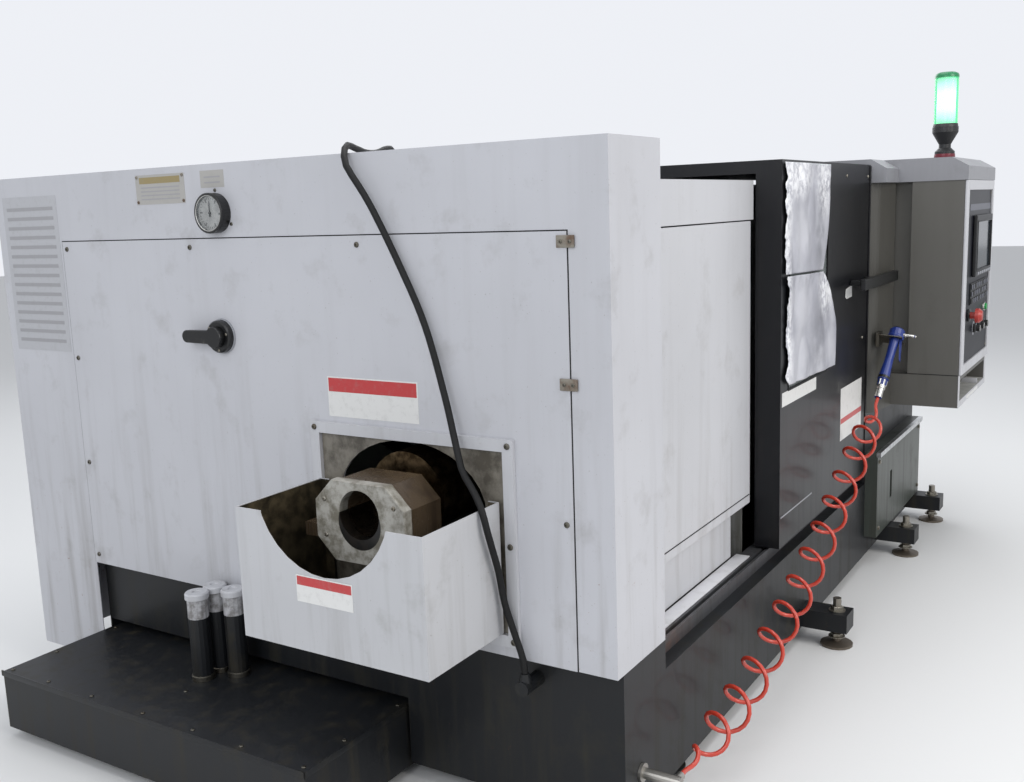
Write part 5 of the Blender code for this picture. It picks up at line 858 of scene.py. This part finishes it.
def isolator():
    y, z = 1.225, 1.212
    rim = [(46.5, 0.5), (46.5, 4), (50, 3), (50, 0.5)]
    turned("isolator_ring", rim, at(PANEL_FACE - 0.0003, y, z), LEFT, grey_foil, ring=True)
    spots = ((0.030, 0.024), (-0.036, 0.008), (-0.004, -0.038))
    places = [(PANEL_FACE - 0.0226, y + dy, z + dz) for dy, dz in spots]
    pan_heads("isolator_screws", places, LEFT, 4, screw_steel)


end_labels()
end_fasteners()
panel_seam_shade()
gauge()
isolator()


# Door: film, labels, edge trim

def film_sheet(name, left, right, low, high, bulge, ragged):
    """One loose sheet of film: a torn left edge, a free right edge, and folds that run out from its corners."""
    columns, rows = 72, 80
    shape = bmesh.new()
    grid = []
    for r in range(rows + 1):
        v = r / rows
        row = []
        for c in range(columns + 1):
            u = c / columns
            z = low(u) + (high(u) - low(u)) * v
            torn = noise.noise(Vector((3.1, z * 24, 0.5))) * 0.55
            torn += noise.noise(Vector((7.7, z * 70, 2.5))) * 0.45
            edge_left = left + ragged * torn
            edge_right = right(v) + 0.005 * noise.noise(Vector((1.3, z * 18, 4.0)))
            x = edge_left + (edge_right - edge_left) * u
            place = Vector((x * 9, z * 5, 1.7))
            crumple = min(1, max(0, 1 - u / 0.16, min(u - 0.55, v - 0.68) * 6, v * 8 - 7))
            fine = 0.5 * abs(noise.noise(place * 3)) + 0.3 * abs(noise.noise(place * 7))
            fold = 0.7 * abs(noise.noise(place)) + crumple * fine
            arch = 0.40 + 0.60 * math.sin(math.pi * min(1, u + 0.10))
            lift = 0.003 + bulge * (0.25 + 1.3 * fold) * arch
            row.append(shape.verts.new(at(x, -lift, z)))
        grid.append(row)
    for r in range(rows):
        for c in range(columns):
            shape.faces.new((grid[r][c], grid[r][c + 1], grid[r + 1][c + 1], grid[r + 1][c]))
    thing = piece(name, shape, film, "door")
    wall = thing.modifiers.new("film thickness", "SOLIDIFY")
    wall.thickness = 0.0008
    wall.offset = 0
    return thing


def door_films():
    upper = film_sheet("upper_film", 1.200, lambda v: 1.625 + 0.072 * (1 - (1 - v) ** 3),
                       lambda u: 1.304 - 0.012 * u, lambda u: 1.652, 0.011, 0.030)
    lower = film_sheet("lower_film", 1.218, lambda v: 1.798 - 0.173 * v ** 3.2,
                       lambda u: 0.946 - 0.014 * u, lambda u: 1.297 - 0.011 * u, 0.014, 0.036)
    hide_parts("window_film")


def door_details():
    front, back = -0.002, -0.0002
    low, high = 0.930, 1.580
    rubber = [((1.255, front, 0.922), (1.700, back, low)), ((1.255, front, high), (1.700, back, 1.588)),
              ((1.257, front, low), (1.265, back, high)), ((1.690, front, low), (1.698, back, high))]
    bars("window_rubber", rubber, rubber_black, "door", 0.0006)
    for name, low, high, material in (
        ("white_strip", (1.196, -0.0008, 0.878), (1.572, -0.0001, 0.924), white_foil),
        ("door_plate", (1.898, -0.0010, 0.622), (2.205, -0.0001, 0.824), white_foil),
        ("door_plate_stripe", (1.900, -0.0014, 0.687), (2.203, -0.0005, 0.707), red_foil),
        ("door_trim", (1.19, -0.0012, 0.508), (1.535, -0.0001, 0.513), grey_foil),
    ):
        bars(name, [(low, high)], material, "door", 0.0)
    bars("door_edge", [((2.268, -0.004, 0.412), (2.280, -0.0002, 1.655))], door_enamel, "door", 0.0015)
    tag = bmesh.new()
    outline = ((1.935, 1.168), (1.952, 1.160), (2.030, 1.163), (2.026, 1.207), (1.990, 1.203), (1.940, 1.197))
    tag.faces.new([tag.verts.new(at(x, -0.0010, z)) for x, z in outline])
    piece("torn_tag", tag, white_foil, "door")
    places = [(1.93, 0.0, 1.615), (2.24, 0.0, 1.615), (2.20, 0.0, 0.985)]
    pan_heads("door_screws", places, FRONT, 6, screw_steel, "door")


door_films()
door_details()


# Control cabinet

CONTROL_FACE = -0.3213
SCREEN_FACE = -0.3376
KEY_FACE = -0.3286


def screen_and_keys():
    front, back = SCREEN_FACE - 0.002, SCREEN_FACE
    glass = ((2.718, SCREEN_FACE + 0.006, 1.218), (3.072, SCREEN_FACE + 0.0079, 1.417))
    bars("display", [glass], display, edge=0.0)
    lip = [((2.712, front, 1.212), (3.078, back, 1.218)), ((2.712, front, 1.417), (3.078, back, 1.423)),
           ((2.712, front, 1.218), (2.718, back, 1.417)), ((3.072, front, 1.218), (3.078, back, 1.417))]
    bars("screen_lip", lip, black_plastic, edge=0.0008)
    starts = [2.735 + i * 0.052 for i in range(7)]
    soft_keys = [((x, SCREEN_FACE - 0.0025, 1.196), (x + 0.034, SCREEN_FACE, 1.208)) for x in starts]
    bars("soft_key_row", soft_keys, grey_foil, edge=0.0012)
    pale = []
    dark = []
    for row in range(3):
        for column in range(10):
            x = 2.66 + 0.044 * (column + 0.5)
            z = 1.075 + 0.03 * (row + 0.5)
            cap = ((x - 0.014, KEY_FACE - 0.0012, z - 0.009), (x + 0.014, KEY_FACE + 0.001, z + 0.009))
            (dark if (row * 3 + column) % 4 == 0 else pale).append(cap)
    bars("pale_key_caps", pale, key_foil, edge=0.0008)
    bars("dark_key_caps", dark, black_plastic, edge=0.0008)


def knobs_and_buttons():
    face = CONTROL_FACE
    bars("header_strip", [((2.60, face - 0.0008, 1.466), (3.13, face - 0.0001, 1.492))], key_foil, edge=0.0)
    scale = [(20.5, 0.1), (20.5, 0.8), (30, 0.8), (30, 0.1)]
    cap = [(13.2, 0), (13.6, 1), (13.6, 2.4), (12, 3), (0, 3)]
    z = 0.965
    for number, (body, share) in enumerate((("knob_one", 0.24), ("knob_two", 0.50), ("knob_three", 0.76)), 1):
        x = 2.69 + 0.41 * share
        turned(f"knob_scale_{number}", scale, at(x, face, z), FRONT, grey_foil, ring=True)
        turned(f"knob_cap_{number}", cap, at(x, face - 0.0263, z), FRONT, bright_steel, body, 24)
        mark = ((x - 0.0012, face - 0.0295, z + 0.005), (x + 0.0012, face - 0.0285, z + 0.013))
        bars(f"knob_mark_{number}", [mark], white_foil, body, 0.0)
    stop = [(15, 0.1), (15, 10), (22, 10), (26, 6), (26, 0.1)]
    turned("stop_collar", stop, at(2.64, face, 1.035), FRONT, soft_black, ring=True)
    button = [(14.6, 0.1), (14.6, 6), (19, 6), (20, 0.1)]
    turned("start_collar", button, at(3.05, face, 1.035), FRONT, bright_steel, ring=True)
    places = [(x, face, z) for x in (2.552, 3.138) for z in (0.855, 1.195, 1.535)]
    pan_heads("face_screws", places, FRONT, 5, screw_steel)


def cabinet_foot():
    front, back = -0.3185, -0.3152
    low, floor, high = 0.6645, 0.6905, 0.7995
    rim = [((2.4985, front, low), (3.1915, back, floor)), ((2.4985, front, floor), (2.5255, back, high)),
           ((3.1645, front, floor), (3.1915, back, high))]
    bars("tray_rim", rim, light_enamel)
    bars("tray_stop", [((3.012, -0.312, 0.6903), (3.020, -0.2456, 0.7120))], light_enamel, edge=0.0008)
    bars("tray_strip", [((2.70, -0.3195, 0.671), (2.98, -0.3184, 0.684))], white_foil, edge=0.0)
    bars("cabinet_seam", [((2.4992, -0.314, 0.7985), (2.5002, -0.004, 0.8015))], rubber_black, edge=0.0)


screen_and_keys()
knobs_and_buttons()
cabinet_foot()


# Signal tower

def tower_details():
    low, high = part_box("signal_lamp")
    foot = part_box("signal_stem")[0].z

    def level(z):
        return Vector(((low.x + high.x) / 2, (low.y + high.y) / 2, z))

    foot_ring = [(30, 26), (41.5, 22), (42.5, 8), (40.5, 0.3)]
    turned("tower_foot_ring", foot_ring, level(foot), UP, crimson_plastic)
    tube_form = [(0, 0), (38, 0), (38, 190), (30, 197), (0, 197)]
    turned("lamp_core", tube_form, level(low.z + 0.008), UP, core)
    cap = [(0, 10.5), (32, 9.5), (44, 4), (48.2, -4), (48.2, -12), (47.4, -12)]
    turned("lamp_cap", cap, level(high.z), UP, cap_lens)
    lamp_ring = [(47.4, 14), (48.8, 12), (51, 0), (47.4, -0.2)]
    turned("lamp_ring", lamp_ring, level(low.z), UP, black_plastic, ring=True)


tower_details()


# Tank, feet and base

def tank_details():
    cap = [(0, 472.8), (11, 472.8), (13, 476.5), (31, 476.5), (34.3, 472), (34.3, 458), (33.5, 457)]
    flange = [(30.6, 226), (33.6, 224), (33.6, 210.5)]
    for number, (x, y) in enumerate(((-0.111, 1.304), (-0.042, 1.304), (-0.042, 1.230)), 1):
        turned(f"pump_cap_{number}", cap, at(x, y, 0), UP, light_enamel, "tank")
        turned(f"pump_flange_{number}", flange, at(x, y, 0), UP, dark_steel, "tank", 32)
    top = 0.21
    places = [(x, y, top) for x in (-0.35, -0.20, 0.02) for y in (0.685, 1.28, 1.875)]
    places += [(-0.35, y, top) for y in (0.9, 1.08, 1.5, 1.7)]
    pan_heads("tank_screws", places, UP, 6, dark_steel, "tank")
    edges = [((-0.374, 0.661, 0.196), (-0.370, 1.899, 0.2135)), ((-0.374, 0.661, 0.196), (0.02, 0.665, 0.2135))]
    bars("tank_lid_edge", edges, tank_paint, "tank", 0.0015)


def feet_and_base():
    hex_heads("foot_nuts", [(x, FOOT_Y, 0.1253) for x in FEET], UP, 21, 16, screw_steel)
    hex_heads("foot_lock_nuts", [(x, FOOT_Y, 0.0305) for x in FEET], UP, 21, 14, screw_steel)
    places = [(x, -0.0503, z) for x in (2.33, 3.10) for z in (0.165, 0.45)]
    hex_heads("front_cover_bolts", places, FRONT, 8, 6, screw_steel)
    # Painted reflection: the strip is light paint in place of bright metal.
    bars("sill_strip", [((0.2725, 0.068, 0.4002), (1.090, 0.1135, 0.4035))], strip_painted_reflection, edge=0.0008)
    # Painted shade: a dark strip stands for the shaded seam at the main front panel's lower edge.
    bars("panel_groove", [((0.2725, 0.0868, 0.5935), (1.139, 0.0879, 0.5965))], rubber_black, edge=0.0)


tank_details()
feet_and_base()


# Air gun

def on_gun(down, forward=0.0):
    """A point down the leaning gun from its seat in the holder, and forward of its middle line."""
    return GUN + SHIFT + GUN_TURN @ Vector((0, -forward, -down))


def gun_details():
    up = -GUN_DOWN
    turned("gun_head_ring", [(30.2, 0), (31.5, 2), (31.5, 10), (30.2, 12)], on_gun(-0.004), up, blue_plastic)
    turned("gun_head_cap", [(23.5, 0), (21.5, 4), (0, 5)], on_gun(-0.0451), up, soft_black)
    nozzle = [(8.5, 0), (8.5, 10), (6.6, 12), (6.6, 40), (4.5, 48.5), (3.2, 50), (0, 50)]
    ahead = GUN_TURN @ Vector(FRONT)
    turned("nozzle_tube", nozzle, on_gun(-0.0225, 0.0285), ahead, bright_steel, sides=20)
    hexagon = [(18.5, 1), (19.5, 3), (19.5, 24), (18.5, 26.5)]
    shape = bmesh.new()
    add_turned(shape, hexagon, on_gun(0.185), GUN_DOWN, 6)
    piece("fitting_hex", shape, bright_steel, smooth=False)
    sleeve = [(18.3, 26.6), (18.3, 40.5), (15, 42.5), (15, 74), (14.2, 79)]
    turned("fitting_sleeve", sleeve, on_gun(0.185), GUN_DOWN, bright_steel, sides=32)
    turned("grip_ring", [(21.5, 0), (23.5, 2), (23.5, 10), (21.5, 12)], on_gun(0.182), up, soft_black)


gun_details()


# Inside the machine

def spoke(angle):
    """The direction at an angle about the spindle line, from straight up."""
    return Vector((0, -math.sin(angle), math.cos(angle)))


def chuck_details():
    front = 1.35
    away = 0.095
    places = []
    for k in range(3):
        angle = math.tau * (k + 0.5) / 3 + math.pi / 2
        places.append((front, SPINDLE_Y + away * math.cos(angle), SPINDLE_Z + away * math.sin(angle)))
    pan_heads("chuck_screws", places, RIGHT, 10, dark_steel, "spindle_line")
    groove = [(125.2, -60.2), (125.8, -58), (125.8, -55), (125.2, -52.8)]
    centre = at(front, SPINDLE_Y, SPINDLE_Z)
    turned("chuck_groove", groove, centre, RIGHT, dark_steel, "spindle_line", ring=True)
    socket = [(8.5, 0), (8.5, 4), (7, 5), (4.5, 5), (4.5, 2), (0, 2)]
    for number, body in enumerate(("jaw_one", "jaw_two", "jaw_three")):
        name = f"jaw_screws_{number + 1}"
        shape = bmesh.new()
        for radius, height in ((0.060, 0.060), (0.082, 0.048)):
            place = at(1.3503 + height, SPINDLE_Y, SPINDLE_Z) + spoke(math.tau * number / 3) * radius
            add_turned(shape, socket, place, RIGHT, 14)
        piece(name, shape, dark_steel, body)


def disc_details():
    """Clamp screws and boring bars on the tool disc."""
    centre = at(1.60, 0.886985, 1.116985)
    lean = math.radians(45)
    bolt = [(9, -0.5), (9, 4), (7, 5), (4.5, 5), (4.5, 2), (0, 2)]
    bolts = bmesh.new()
    for k in range(12):
        add_turned(bolts, bolt, centre + spoke(math.tau * (k + 0.5) / 12 + lean) * 0.115, LEFT, 14)
    piece("disc_bolts", bolts, dark_steel, "tool_disc")
    boring_bar = [(12, 0), (12, 52), (10, 56), (0, 56)]
    boring_bars = bmesh.new()
    for k in range(3):
        out = spoke(math.tau * (k * 4 + 1) / 12 + lean)
        add_turned(boring_bars, boring_bar, centre + out * 0.166 + Vector((0.003, 0, 0)), LEFT, 20)
    piece("boring_bars", boring_bars, bright_steel, "tool_disc")


chuck_details()
disc_details()


# Rear and right side

def rear_details():
    places = [(x, 2.2002, z) for x in (0.30, 0.84, 1.37) for z in (0.40, 0.98, 1.57)]
    pan_heads("rear_screws", places, BACK, 7, screw_steel)
    face = 2.2361
    vents = [((1.62, face, z), (2.02, face + 0.0024, z + 0.010)) for z in [0.84 + i * 0.022 for i in range(8)]]
    bars("rear_vents", vents, black_plastic, "cabinet_door", 0.0008)
    places = [(3.2, y, z) for y in (0.05, 0.75, 1.45, 2.15) for z in (0.70, 1.55)]
    pan_heads("right_end_screws", places, RIGHT, 7, screw_steel)
    hinges = [((3.160, face, z), (3.194, face + 0.0034, z + 0.09)) for z in (0.80, 1.36)]
    bars("hinges", hinges, dark_steel, "cabinet_door")


rear_details()


# Floor and light

def studio():
    floor_material, _, shader, _ = start("pale_floor", 0.7)
    shader.inputs["Base Color"].default_value = paint("#DADBDB")
    bpy.ops.mesh.primitive_plane_add(size=60, location=(0, 0, -0.0005))
    floor = bpy.context.object
    floor.name = "floor"
    floor.data.materials.append(floor_material)
    world = bpy.data.worlds.new("soft_studio")
    bpy.context.scene.world = world
    world.use_nodes = True
    nodes = world.node_tree
    sky = nodes.nodes["Background"]
    sky.inputs["Color"].default_value = (0.93, 0.95, 1.0, 1)
    path = add(nodes, "LightPath").outputs
    seen = figure(nodes, "MAXIMUM", path["Is Camera Ray"], path["Is Glossy Ray"])
    seen = figure(nodes, "MAXIMUM", seen, path["Is Transmission Ray"])
    nodes.links.new(span(nodes, seen, 0, 1, 0.62, 0.92), sky.inputs["Strength"])
    lamps = (
        ("front_softbox", at(0.2, -5.5, 4.2), at(1.4, 0.6, 0.8), 3.6, 230, (1.0, 0.97, 0.93)),
        ("left_softbox", at(-5.0, 0.2, 3.6), at(0.0, 1.0, 0.9), 3.4, 120, (0.95, 0.97, 1.0)),
        ("top_softbox", at(1.4, 1.0, 5.6), at(1.4, 1.0, 0.0), 4.5, 170, (1.0, 1.0, 1.0)),
        ("back_softbox", at(6.5, 4.5, 3.8), at(1.4, 1.0, 1.0), 3.6, 110, (0.96, 0.98, 1.0)),
    )
    for name, place, aim, size, power, colour in lamps:
        lamp = bpy.data.lights.new(name, "AREA")
        lamp.size = size
        lamp.energy = power
        lamp.color = colour
        thing = bpy.data.objects.new(name, lamp)
        thing.location = place
        thing.rotation_euler = (aim - place).to_track_quat("-Z", "Y").to_euler()
        bpy.context.scene.collection.objects.link(thing)
    bpy.context.scene.view_settings.view_transform = "Standard"


studio()
